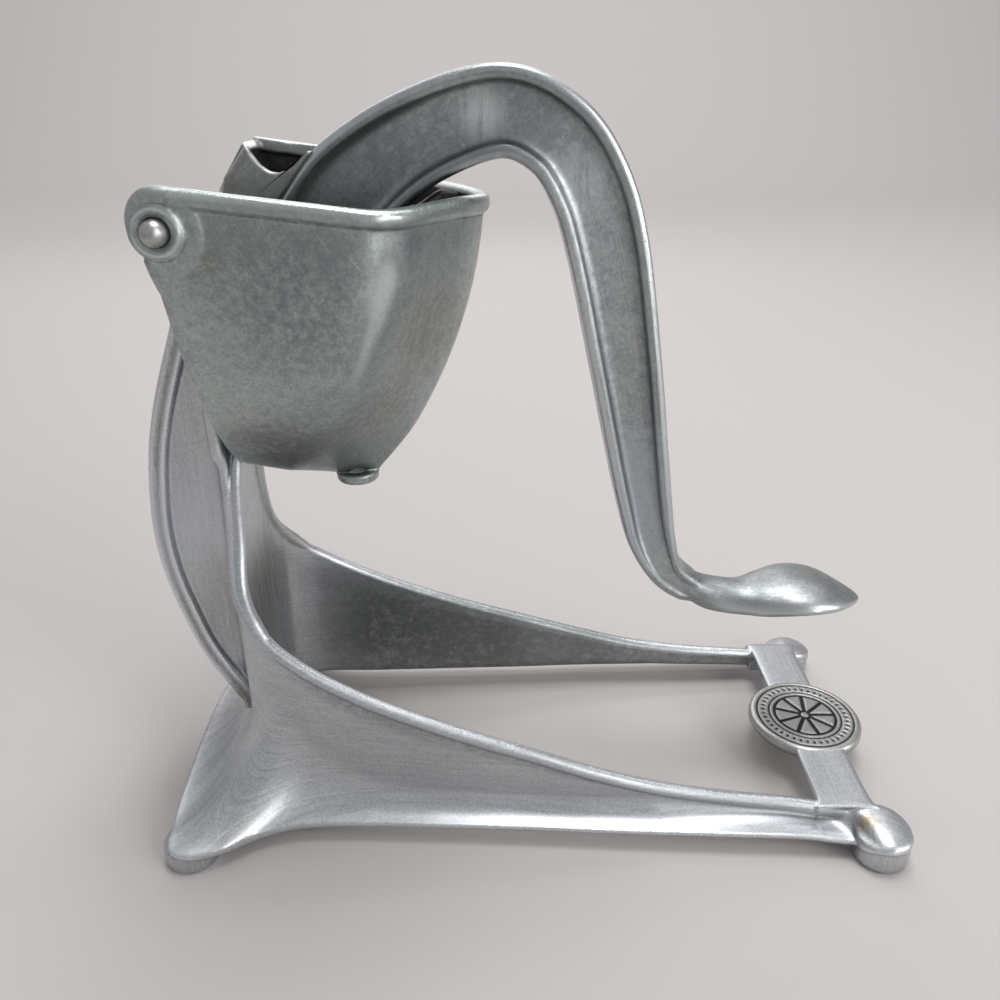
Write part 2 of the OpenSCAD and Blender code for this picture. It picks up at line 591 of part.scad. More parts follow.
module lever_arm() {
    outer = arm_edge(1, 0);
    inner = arm_edge(-1, 0);
    root = [for (i = [0:root_rows]) outer[i]];
    root_back = [for (i = [root_rows:-1:0]) inner[i]];
    color("lightslategray") difference() {
        union() {
            side_plate(concat(outer, flip(inner)), arm_web_t);
            side_plate(concat(outer, flip(arm_edge(1, arm_flange_t))), arm_flange_w);
            side_plate(concat(inner, flip(arm_edge(-1, arm_flange_t))), arm_flange_w);
            side_plate(concat(root, root_back), arm_flange_w);
            loft([for (r = curve(pad_rows, 2)) pad_ring(r)]);
        }
        lever_rivet_holes(rivet_r + rivet_clear);
    }
}

module lever_rivets() {
    color("gainsboro") for (p = lever_rivet_at) translate([p[0], 0, p[1]]) {
        cross_rod(rivet_r, -socket_half_w, socket_half_w);
        for (side = [-1, 1]) translate([0, side * socket_half_w, 0]) rotate([0, 0, side * 90]) rivet_head(rivet_head_r);
    }
}

stand();
juice_cup();
cup_rivets();
hinge_pin();
strainer();
presser();
lever_arm();
lever_rivets();
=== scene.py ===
"""Looks of a hinged lemon squeezer in aged cast aluminium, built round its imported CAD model.

Sizes are in millimetres in the object's own frame (X to the front, Z up) until a mesh is made.
Surfaces are worked out as whole arrays of points. The cup, the pressing head and the lever are
worked out about the hinge pin and then moved to it; the cup and the head are tilted first.
"""

import logging
from dataclasses import dataclass, field, replace
from enum import Enum

import bpy
import numpy as np
from mathutils import Matrix

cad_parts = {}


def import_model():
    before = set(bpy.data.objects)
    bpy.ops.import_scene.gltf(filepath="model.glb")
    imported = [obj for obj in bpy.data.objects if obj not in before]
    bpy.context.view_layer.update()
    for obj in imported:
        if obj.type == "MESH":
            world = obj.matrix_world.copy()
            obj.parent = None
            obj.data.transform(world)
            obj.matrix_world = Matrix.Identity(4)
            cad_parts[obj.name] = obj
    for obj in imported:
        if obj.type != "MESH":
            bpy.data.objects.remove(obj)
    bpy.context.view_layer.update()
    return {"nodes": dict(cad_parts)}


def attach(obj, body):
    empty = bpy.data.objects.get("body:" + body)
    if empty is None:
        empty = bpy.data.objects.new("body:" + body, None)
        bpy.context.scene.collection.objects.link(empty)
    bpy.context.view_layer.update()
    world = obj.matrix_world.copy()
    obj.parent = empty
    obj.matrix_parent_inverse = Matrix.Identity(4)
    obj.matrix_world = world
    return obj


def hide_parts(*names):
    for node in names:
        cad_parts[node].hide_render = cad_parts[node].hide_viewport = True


Array = np.ndarray
Point = tuple[float, float, float]
Colour = tuple[float, float, float]

MM = 0.001
PIN = (-82.2, 0.0, 175.0)
TILT = 6.4
SHARP_ANGLE = 42.0

log = logging.getLogger("squeezer")


# ---- Shapes worked out as whole arrays ----


def unit(v: Array) -> Array:
    """Vectors of length one along the last axis."""
    return v / np.maximum(np.linalg.norm(v, axis=-1, keepdims=True), 1e-9)


def ease(t: Array | float) -> Array:
    """Smooth step from 0 to 1: 3t^2 - 2t^3, held at both ends."""
    c = np.clip(t, 0.0, 1.0)
    return c * c * (3.0 - 2.0 * c)


def hump(x: Array, centre: float, width: float) -> Array:
    """Bell curve exp(-((x - centre) / width)^2)."""
    return np.exp(-(((x - centre) / width) ** 2))


def spline(points: Array | tuple, steps: int) -> Array:
    """Catmull-Rom curve through the rows of points.

    Args:
        points: one row per place, any number of columns.
        steps: number of parts between two rows.

    Returns:
        Rows of the curve, with both end points.
    """
    rows = np.array(points, float)
    p = np.vstack([rows[:1], rows, rows[-1:]])
    i = np.arange(len(rows) - 1)[:, None]
    t = (np.arange(steps) / steps)[None, :, None]
    a, b, c, d = (p[i + k] for k in range(4))
    square = (2 * a - 5 * b + 4 * c - d) * t**2
    cube = (3 * b - 3 * c + d - a) * t**3
    body = 0.5 * (2 * b + (c - a) * t + square + cube)
    return np.vstack([body.reshape(-1, p.shape[1]), p[-1:]])


def tangents(path: Array) -> Array:
    """Unit tangents of a path by central differences."""
    return unit(np.gradient(path, axis=0))


def sideways(path: Array) -> Array:
    """Unit normals of a plane path, to the left of its way."""
    t = tangents(path)
    return np.stack([-t[:, 1], t[:, 0]], axis=-1)


def turn(first: float, last: float, count: int) -> Array:
    """Pairs (cos, sin) for count angles from first to last, in degrees."""
    a = np.radians(np.linspace(first, last, count))
    return np.stack([np.cos(a), np.sin(a)], axis=-1)


def circle(count: int) -> Array:
    """Pairs (cos, sin) for count even steps of a whole turn."""
    return turn(0, 360, count + 1)[:-1]


def bend(a: Array, b: Array, c: Array, count: int) -> Array:
    """Quadratic Bezier curves a(1-t)^2 + 2bt(1-t) + ct^2 for stacks of points, on a new axis 1."""
    t = np.linspace(0.0, 1.0, count)[None, :, None]
    return a[:, None] * (1 - t) ** 2 + 2 * b[:, None] * t * (1 - t) + c[:, None] * t**2


def straight(a: Array, b: Array, count: int) -> Array:
    """Points between stacks a and b, without the ends, along a new axis 1."""
    t = np.linspace(0.0, 1.0, count + 2)[1:-1][None, :, None]
    return a[:, None] * (1 - t) + b[:, None] * t


def stacked(*values: Array | float) -> Array:
    """Points from their coordinates, which are brought to one shape first."""
    return np.stack(np.broadcast_arrays(*values), axis=-1)


def lifted(xy: Array, z: Array) -> Array:
    """Points of a plan xy at heights z."""
    return np.concatenate([xy, np.broadcast_to(z[..., None], (*xy.shape[:-1], 1))], axis=-1)


def there_and_back(half: Array) -> Array:
    """A path from its mirror image on the near side, through its first point, and along itself."""
    return np.concatenate([(half * [1, -1, 1])[:0:-1], half])


@dataclass
class Skin:
    """A surface in millimetres with three marks on each point.

    edge is 1 where the metal is painted lighter, for wear from hands and cloths and for painted
    highlights; hollow is 1 where it is painted darker, for deposit and for painted shade in creases
    and recesses; grain holds the distances along and across the piece, which the brushed finish
    follows.
    """

    points: Array
    faces: list[Array]
    edge: Array
    hollow: Array
    grain: Array

    @classmethod
    def grid(cls, p: Array, edge: Array | float = 0.0, hollow: Array | float = 0.0,
             capped: bool = True) -> "Skin":
        """Skin over closed rings of points, turned so that its faces point outwards.

        Args:
            p: rings x columns x 3 points.
            edge: mark, broadcast over the grid.
            hollow: mark, broadcast over the grid.
            capped: the first and last rings are closed by a fan round their middle.

        Returns:
            The skin, with grain as arc length along columns and rings.
        """
        rows, cols = p.shape[:2]
        index = np.arange(rows * cols).reshape(rows, cols)
        wrap = np.concatenate([index, index[:, :1]], axis=1)
        quads = np.stack([wrap[:-1, :-1], wrap[:-1, 1:], wrap[1:, 1:], wrap[1:, :-1]], axis=-1)
        down, right = (np.linalg.norm(np.diff(p, axis=k), axis=2) for k in (0, 1))
        along = np.vstack([np.zeros((1, cols)), np.cumsum(down, axis=0)])
        across = np.hstack([np.zeros((rows, 1)), np.cumsum(right, axis=1)])
        grain = stacked(along, across - across.mean(axis=1, keepdims=True), 0.0).reshape(-1, 3)
        marks = [np.broadcast_to(np.asarray(m, float), (rows, cols)).reshape(-1)
                 for m in (edge, hollow)]
        points, faces = p.reshape(-1, 3), [quads.reshape(-1, 4)]
        if capped:
            n = len(points)
            points = np.vstack([points, p[0].mean(0), p[-1].mean(0)])
            first, last = wrap[0], wrap[-1]
            faces.append(stacked(first[1:], first[:-1], n))
            faces.append(stacked(last[:-1], last[1:], n + 1))
            marks = [np.concatenate([m, [m[0], m[-1]]]) for m in marks]
            grain = np.vstack([grain, grain[0], grain[-1]])
        skin = cls(points, faces, marks[0], marks[1], grain)
        return skin.flipped() if skin.volume() < 0 else skin

    def volume(self) -> float:
        """Signed volume: a sixth of the sum of a.(b x c) over the triangles."""
        total = 0.0
        for f in self.faces:
            for k in range(1, f.shape[1] - 1):
                a, b, c = (self.points[f[:, i]] for i in (0, k, k + 1))
                total += float(np.sum(a * np.cross(b, c)))
        return total / 6.0

    def flipped(self) -> "Skin":
        """The same skin with its faces turned over."""
        return replace(self, faces=[f[:, ::-1] for f in self.faces])

    def mirrored(self) -> "Skin":
        """The skin on the other side of the middle plane."""
        return replace(self.flipped(), points=self.points * [1, -1, 1])

    def moved(self, spot: Point, tilt: float = 0.0) -> "Skin":
        """The skin turned about Y by tilt degrees, then moved to spot."""
        c, s = np.cos(np.radians(tilt)), np.sin(np.radians(tilt))
        x, y, z = self.points.T
        return replace(self, points=stacked(x * c + z * s, y, z * c - x * s) + np.array(spot))

    def mesh(self, name: str) -> bpy.types.Mesh:
        """A mesh in metres, with the marks as attributes."""
        mesh = bpy.data.meshes.new(name)
        sizes = np.concatenate([np.full(len(f), f.shape[1]) for f in self.faces])
        corners = np.concatenate([f.reshape(-1) for f in self.faces])
        starts = np.concatenate([[0], np.cumsum(sizes)[:-1]])
        mesh.vertices.add(len(self.points))
        mesh.vertices.foreach_set("co", (self.points * MM).astype(np.float32).ravel())
        mesh.loops.add(len(corners))
        mesh.loops.foreach_set("vertex_index", corners.astype(np.int32))
        mesh.polygons.add(len(sizes))
        mesh.polygons.foreach_set("loop_start", starts.astype(np.int32))
        mesh.polygons.foreach_set("loop_total", sizes.astype(np.int32))
        for key, kind, part, values in (("edge", "FLOAT", "value", self.edge),
                                        ("hollow", "FLOAT", "value", self.hollow),
                                        ("grain", "FLOAT_VECTOR", "vector", self.grain)):
            mark = mesh.attributes.new(key, kind, "POINT")
            mark.data.foreach_set(part, values.astype(np.float32).ravel())
        mesh.update(calc_edges=True)
        mesh.validate()
        mesh.shade_smooth()
        mesh.set_sharp_from_angle(angle=np.radians(SHARP_ANGLE))
        return mesh


def join(skins: list[Skin]) -> Skin:
    """One skin from many."""
    starts = np.cumsum([0] + [len(s.points) for s in skins])
    faces = [f + n for s, n in zip(skins, starts) for f in s.faces]
    points, *marks = (np.concatenate([getattr(s, key) for s in skins])
                      for key in ("points", "edge", "hollow", "grain"))
    return Skin(points, faces, *marks)


def both(skin: Skin) -> list[Skin]:
    """The skin and its mirror image."""
    return [skin, skin.mirrored()]


def puck(outline: Array | tuple, low: float, high: float, round_by: float) -> Skin:
    """Plate in the XZ plane from y = low to high, with rounded edges.

    The outline shrinks towards its middle as (1 - s) while y follows a quarter circle at both
    faces; each face has one more ring, 0.35 of the least radius further in.

    Args:
        outline: closed loop of (x, z) points.
        low: first face.
        high: second face.
        round_by: radius of the edges.

    Returns:
        A closed skin.
    """
    outline = np.array(outline, float)
    middle = outline.mean(0)
    reach = np.linalg.norm(outline - middle, axis=1, keepdims=True)
    quarter = round_by * (1 - turn(0, 90, 6))
    ends = [round_by + 0.35 * reach.min(), round_by]
    inset = np.concatenate([ends, quarter[:, 1], quarter[::-1, 1], ends[::-1]])
    y = np.concatenate([[low, low], low + quarter[:, 0], high - quarter[::-1, 0], [high, high]])
    scale = np.clip(1 - inset[:, None, None] / reach[None], 0, 1)
    xz = middle + (outline - middle)[None] * scale
    wear = np.zeros((len(inset), 1))
    wear[2:-2] = 0.8
    return Skin.grid(stacked(xz[..., 0], y[:, None], xz[..., 1]), wear)


def tube(path: Array, radius: Array, count: int, edge: float) -> Skin:
    """Round tube along a path, p(s) + r(s)(u cos a + v sin a), with u, v across the tangent."""
    t = tangents(path)
    u = unit(np.cross(t, [0.0, 1.0, 0.0001]))
    v = np.cross(t, u)
    d = circle(count)[None]
    p = path[:, None] + radius[:, None, None] * (u[:, None] * d[..., :1] + v[:, None] * d[..., 1:])
    return Skin.grid(p, edge)


def dense(loop: tuple) -> Array:
    """A closed loop of (x, z) points, drawn again with a point about every millimetre."""
    closed = np.array([*loop, loop[0]], float)
    run = np.concatenate([[0], np.cumsum(np.linalg.norm(np.diff(closed, axis=0), axis=1))])
    s = np.linspace(0, run[-1], int(run[-1]) + 1)[:-1]
    return stacked(*(np.interp(s, run, closed[:, k]) for k in (0, 1)))


class Section:
    """Cross-section of a sweep, put together from runs of points with their marks.

    A run holds two coordinates for all rings of the sweep at once, as rings x points arrays.
    """

    def __init__(self, rings: int) -> None:
        """Starts an empty section for that number of rings."""
        self.rings = rings
        self.runs: list[Array] = []
        self.marks: list[Array] = []

    def add(self, u: Array | float, v: Array | float, edge: float = 0.0,
            hollow: float = 0.0) -> None:
        """Adds a run of points (u, v) with its marks."""
        points = stacked(np.atleast_2d(u), np.atleast_2d(v))
        self.runs.append(np.broadcast_to(points, (self.rings, *points.shape[1:])))
        self.marks.append(np.full((points.shape[1], 2), (edge, hollow)))

    def whole(self) -> tuple[Array, Array]:
        """Rings x points x 2 coordinates, and the marks of the points."""
        return np.concatenate(self.runs, axis=1), np.concatenate(self.marks)

    def reflect(self, flip: tuple[int, int], close: bool) -> None:
        """Adds the mirror image of all points so far, backwards and without the last one.

        Args:
            flip: 1 or -1 for each of the two coordinates.
            close: leaves the first point out too, so that the ring closes on it.
        """
        points, marks = self.whole()
        stop = 0 if close else None
        self.runs = [points, (points * flip)[:, -2:stop:-1]]
        self.marks = [marks, marks[-2:stop:-1]]


# ---- Materials ----


class Wire:
    """A value on its way through a material: Python's operators lay Math nodes."""

    def __init__(self, bench: "Bench", socket: bpy.types.NodeSocket) -> None:
        """Holds the output socket of a node."""
        self.bench, self.socket = bench, socket

    def math(self, kind: str, *values: "Wire | float") -> "Wire":
        """Result of a Math node of that kind on the values."""
        return self.bench.node("ShaderNodeMath", {"operation": kind}, dict(enumerate(values)))

    def __add__(self, other: "Wire | float") -> "Wire":
        """Sum."""
        return self.math("ADD", self, other)

    def __sub__(self, other: "Wire | float") -> "Wire":
        """Difference."""
        return self.math("SUBTRACT", self, other)

    def __mul__(self, other: "Wire | float") -> "Wire":
        """Product."""
        return self.math("MULTIPLY", self, other)

    def __rsub__(self, other: float) -> "Wire":
        """A number less this value."""
        return self.math("SUBTRACT", other, self)

    __radd__, __rmul__ = __add__, __mul__

    def between(self, low: float, high: float) -> "Wire":
        """Smooth rise from 0 at low to 1 at high; it falls where low is above high."""
        turned = low > high
        return self.bench.node(
            "ShaderNodeMapRange", {"interpolation_type": "SMOOTHSTEP"},
            {"Value": self, "From Min": min(low, high), "From Max": max(low, high),
             "To Min": float(turned), "To Max": float(not turned)})


class Bench:
    """Lays the nodes of one material."""

    def __init__(self, name: str) -> None:
        """Starts an empty material."""
        self.material = bpy.data.materials.new(name)
        self.material.use_nodes = True
        self.tree = self.material.node_tree
        self.tree.nodes.clear()

    def node(self, kind: str, settings: dict[str, object] | None = None,
             sockets: "dict[str | int, Wire | float | tuple] | None" = None,
             output: str | int = 0) -> Wire | None:
        """Lays a node: its settings first, then the values or links of its sockets.

        Args:
            kind: type of the node.
            settings: its properties by name.
            sockets: a plain value, or a wire to link, by the socket's name or number.
            output: the output to go on from.

        Returns:
            A wire from that output, or None where the node has no outputs.
        """
        made = self.tree.nodes.new(kind)
        for key, value in (settings or {}).items():
            setattr(made, key, value)
        for key, value in (sockets or {}).items():
            if isinstance(value, Wire):
                self.tree.links.new(value.socket, made.inputs[key])
            else:
                made.inputs[key].default_value = value
        return Wire(self, made.outputs[output]) if len(made.outputs) else None

    def place(self) -> Wire:
        """Object coordinates, in metres."""
        return self.node("ShaderNodeTexCoord", output="Object")

    def mark(self, name: str, output: str = "Fac") -> Wire:
        """An attribute that the skins carry."""
        return self.node("ShaderNodeAttribute", {"attribute_name": name}, output=output)

    def stretch(self, vector: Wire, scale: Point) -> Wire:
        """A vector with its parts scaled."""
        return self.node("ShaderNodeMapping", sockets={"Vector": vector, "Scale": scale})

    def noise(self, vector: Wire, scale: float, detail: float, rough: float = 0.55,
              twist: float = 0.0) -> Wire:
        """Fractal noise from about 0.2 to 0.8."""
        return self.node("ShaderNodeTexNoise", sockets={
            "Vector": vector, "Scale": scale, "Detail": detail, "Roughness": rough,
            "Distortion": twist})

    def cells(self, vector: Wire, scale: float) -> Wire:
        """Distance to the nearest of many scattered points."""
        return self.node("ShaderNodeTexVoronoi", sockets={"Vector": vector, "Scale": scale},
                         output="Distance")

    def near(self, place: Wire, spot: Point, reach: float) -> Wire:
        """1 at a spot, falling to 0 at the distance reach; both in millimetres."""
        middle = tuple(MM * v for v in spot)
        far = self.node("ShaderNodeVectorMath", {"operation": "DISTANCE"}, {0: place, 1: middle},
                        output="Value")
        return far.between(reach * MM, 0.0)

    def scaled(self, colour: Wire, shade: Wire) -> Wire:
        """The colour times a grey value."""
        return self.node("ShaderNodeVectorMath", {"operation": "SCALE"},
                         {0: colour, "Scale": shade})

    def mix(self, share: Wire, first: Wire | Colour, second: Colour) -> Wire:
        """Colour between first and second."""
        ends = [c if isinstance(c, Wire) else (*c, 1.0) for c in (first, second)]
        return self.node("ShaderNodeMix", {"data_type": "RGBA"},
                         {0: share, 6: ends[0], 7: ends[1]}, output=2)

    def bump(self, height: Wire, depth: float, normal: Wire) -> Wire:
        """Normal of a surface with that height on top of another normal, depth in millimetres."""
        return self.node("ShaderNodeBump", sockets={
            "Height": height, "Distance": depth * MM, "Normal": normal})

    def fillet(self, radius: float) -> Wire:
        """Normal that is rounded where surfaces meet, radius in millimetres."""
        return self.node("ShaderNodeBevel", {"samples": 6}, {"Radius": radius * MM})

    def surface(self, **sockets: Wire | float | tuple) -> bpy.types.Material:
        """Ends the material with a Principled shader; a socket's name has _ for a space."""
        named = {key.replace("_", " "): value for key, value in sockets.items()}
        shader = self.node("ShaderNodeBsdfPrincipled", sockets=named)
        self.node("ShaderNodeOutputMaterial", sockets={"Surface": shader})
        return self.material


class Brushing(Enum):
    """How many fine lines run along and across a millimetre of a finish."""

    ALONG = (0.035, 1.9, 1.0)
    NONE = (1.3, 1.3, 1.3)


@dataclass(frozen=True)
class Spot:
    """A patch of another colour.

    Attributes:
        place: its middle (x, y, z), in millimetres.
        reach: distance at which it has faded out.
        colour: its colour.
        share: how much of it shows.
        streaks: it runs in upright streaks.
    """

    place: Point
    reach: float
    colour: Colour = (0.22, 0.145, 0.050)
    share: float = 0.8
    streaks: bool = False


@dataclass(frozen=True)
class CastFinish:
    """Aged cast aluminium.

    Attributes:
        name: name of the material.
        tone: colour of the clean metal.
        dull: colour of the oxide in patches.
        grime_and_shade: colour of the deposit in hollows and of the painted shade there; the pits
            use it too.
        rough: roughness of the clean metal.
        mottle: share of the patches.
        pits: share of the pits.
        brushing: way of the fine lines.
        lines: strength of the lines.
        grit: how much finer the patches are.
        spots: patches of other colours at given places.
    """

    name: str
    tone: Colour
    dull: Colour
    grime_and_shade: Colour = (0.030, 0.029, 0.026)
    rough: float = 0.34
    mottle: float = 1.0
    pits: float = 1.0
    brushing: Brushing = Brushing.NONE
    lines: float = 0.5
    grit: float = 1.0
    spots: tuple[Spot, ...] = ()

    def lighter(self, factor: float) -> Colour:
        """The clean metal's colour, times a factor and held at white."""
        return tuple(min(1.0, v * factor) for v in self.tone)

    def material(self) -> bpy.types.Material:
        """Lays the material: patches, pits, lines, wear and painted highlights on edges, deposit
        and painted shade in hollows, and spots.
        """
        b = Bench(self.name)
        p, grain = b.place(), b.mark("grain", "Vector")
        wear_and_sheen, hollow = b.mark("edge"), b.mark("hollow")
        # Patterns, from the broadest to the finest, then the lines along the grain.
        broad = b.noise(p, 42.0, 3.0, 0.5)
        patch = b.noise(p, 210.0 * self.grit, 8.0, 0.72, 0.3)
        fine = b.noise(p, 1500.0, 3.0, 0.7)
        clusters = b.noise(p, 120.0, 3.0).between(0.52, 0.64)
        speck = b.cells(p, 900.0).between(0.20, 0.05) * clusters
        brush = b.noise(b.stretch(grain, self.brushing.value), 1.0, 6.0, 0.75)
        scratch = b.noise(b.stretch(grain, (0.10, 1.6, 1.0)), 1.0, 1.0, 0.5, 2.6)
        scratch = scratch.between(0.70, 0.735)
        streak = b.noise(b.stretch(p, (600.0, 600.0, 45.0)), 1.0, 4.0, 0.6)
        share = 0.5 / self.grit
        dark = (broad * share + patch * (1.0 - share)).between(0.38, 0.62) * self.mottle
        # Painted highlight and painted shade: the edge mark lightens wear and painted highlights,
        # the hollow mark darkens deposit and painted shade.
        bright = (wear_and_sheen * (patch * 0.5 + 0.75)).between(0.25, 1.0)
        dirt_and_shade = (hollow * (patch + 0.5)).between(0.15, 0.95)
        # Colour: clean and dull metal, shaded by the patterns, with each layer on top.
        grain_shade = brush.between(0.28, 0.72) * (0.34 * self.lines)
        shade = fine.between(0.25, 0.75) * 0.30 + patch.between(0.30, 0.70) * 0.16
        shade = shade + grain_shade + (0.74 - 0.15 * self.lines)
        colour = b.scaled(b.mix(dark, self.tone, self.dull), shade)
        colour = b.mix(bright * 0.7, colour, self.lighter(1.45))
        colour = b.mix(dirt_and_shade * 0.92, colour, self.grime_and_shade)
        colour = b.mix(speck * (0.6 * self.pits), colour, self.grime_and_shade)
        colour = b.mix(scratch * 0.22, colour, self.lighter(1.7))
        for spot in self.spots:
            pattern = streak if spot.streaks else patch * 0.7 + broad * 0.3
            shown = b.near(p, spot.place, spot.reach) * pattern.between(0.28, 0.56)
            colour = b.mix(shown * spot.share, colour, spot.colour)
        rough = dark * 0.10 + fine * 0.10 + (self.rough - 0.06) + dirt_and_shade * 0.25
        rough = rough - bright * 0.12 + brush * (0.10 * self.lines)
        height = fine * 0.30 + patch * 0.26 + brush * (0.6 * self.lines)
        height = height - speck * (1.2 * self.pits) - scratch * 0.25
        return b.surface(Metallic=1.0, Base_Color=colour, Roughness=rough,
                         Normal=b.bump(height, 0.055, b.fillet(1.2)))


STAND_FINISH = CastFinish(
    "cast_stand", (0.56, 0.58, 0.60), (0.40, 0.415, 0.44), mottle=0.55, pits=0.7, rough=0.32,
    brushing=Brushing.ALONG, lines=0.8, grit=1.8,
    spots=(Spot((-93, -9, 27), 9), Spot((96, -45, 11.5), 6),
           Spot((-99, -3, 85), 30, (0.62, 0.66, 0.72), 0.5),
           Spot((-83, 2, 62), 30, (0.24, 0.215, 0.17), 0.75, True),
           # Painted dark reflection on the far rail's inner face: the next three spots.
           Spot((-46, 30, 28), 36, (0.13, 0.15, 0.135), 0.9),
           Spot((-16, 32, 20), 36, (0.14, 0.16, 0.145), 0.8),
           Spot((22, 34, 12), 36, (0.20, 0.22, 0.205), 0.7)))
MEDALLION_FINISH = CastFinish(
    "cast_medallion", (0.40, 0.41, 0.40), (0.27, 0.275, 0.265), grime_and_shade=(0.012, 0.012, 0.011),
    mottle=0.6, pits=0.5, rough=0.38, lines=0.1)
CUP_FINISH = CastFinish(
    "cast_cup", (0.46, 0.50, 0.485), (0.27, 0.305, 0.30), mottle=0.8, pits=0.6, rough=0.33,
    lines=0.2, grit=2.2,
    spots=(Spot((-72, -41, 168), 6, (0.20, 0.17, 0.10), 0.4),
           Spot((-55, -40, 160), 30, (0.14, 0.18, 0.20), 0.65),
           Spot((-27, -33, 171), 8, (0.12, 0.16, 0.20), 0.7),
           Spot((-20, -22, 144), 24, (0.22, 0.20, 0.175), 0.8, True),
           Spot((-33, -25, 120), 22, (0.19, 0.175, 0.145), 0.85, True),
           # Painted highlight: the next spot, a light streak at the top of the corner between side
           # and point.
           Spot((-36, -38, 160), 7, (0.62, 0.66, 0.65), 0.45, True),
           Spot((-66, -27, 117), 20, (0.17, 0.165, 0.145), 0.75),
           Spot((-44, -30, 112), 20, (0.15, 0.145, 0.13), 0.8),
           Spot((-24, -20, 116), 20, (0.16, 0.15, 0.13), 0.8)))
HEAD_FINISH = CastFinish(
    "cast_presser", (0.46, 0.475, 0.465), (0.30, 0.31, 0.30), rough=0.38, lines=0.1, grit=1.6,
    spots=(Spot((-79, -6, 182), 7, (0.24, 0.18, 0.08), 0.75),))
LEVER_FINISH = CastFinish(
    "cast_lever", (0.43, 0.45, 0.455), (0.25, 0.27, 0.28), mottle=0.85, rough=0.36,
    brushing=Brushing.ALONG, lines=0.7, grit=1.8,
    spots=(Spot((-16, -3, 190), 48, (0.17, 0.19, 0.195), 0.55),
           Spot((-14, -3, 197), 9, (0.85, 0.88, 0.88), 0.5, True),
           Spot((10, -3, 182), 12, (0.75, 0.79, 0.80), 0.35, True),
           Spot((28, -3, 95), 30, (0.44, 0.48, 0.54), 0.5)))
TURNED_FINISH = CastFinish(
    "turned", (0.50, 0.50, 0.49), (0.34, 0.34, 0.33), mottle=0.6, pits=0.5, rough=0.33,
    lines=0.1, grit=1.5)


def make(skin: Skin, name: str, finish: CastFinish, body: str,
         node: str) -> bpy.types.Object:
    """Makes the mesh of a skin, gives it its finish and sets it in the frame.

    Args:
        skin: the surface.
        name: name of the piece.
        finish: its finish.
        body: CAD body that it rides on.
        node: CAD node that it stands for.

    Returns:
        The object.
    """
    mesh = skin.mesh(name)
    piece = bpy.data.objects.new(name, mesh)
    bpy.context.scene.collection.objects.link(piece)
    mesh.materials.append(finish.material())
    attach(piece, body)
    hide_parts(node)
    log.info("%s: %d faces", name, len(mesh.polygons))
    return piece


# ---- Stand ----


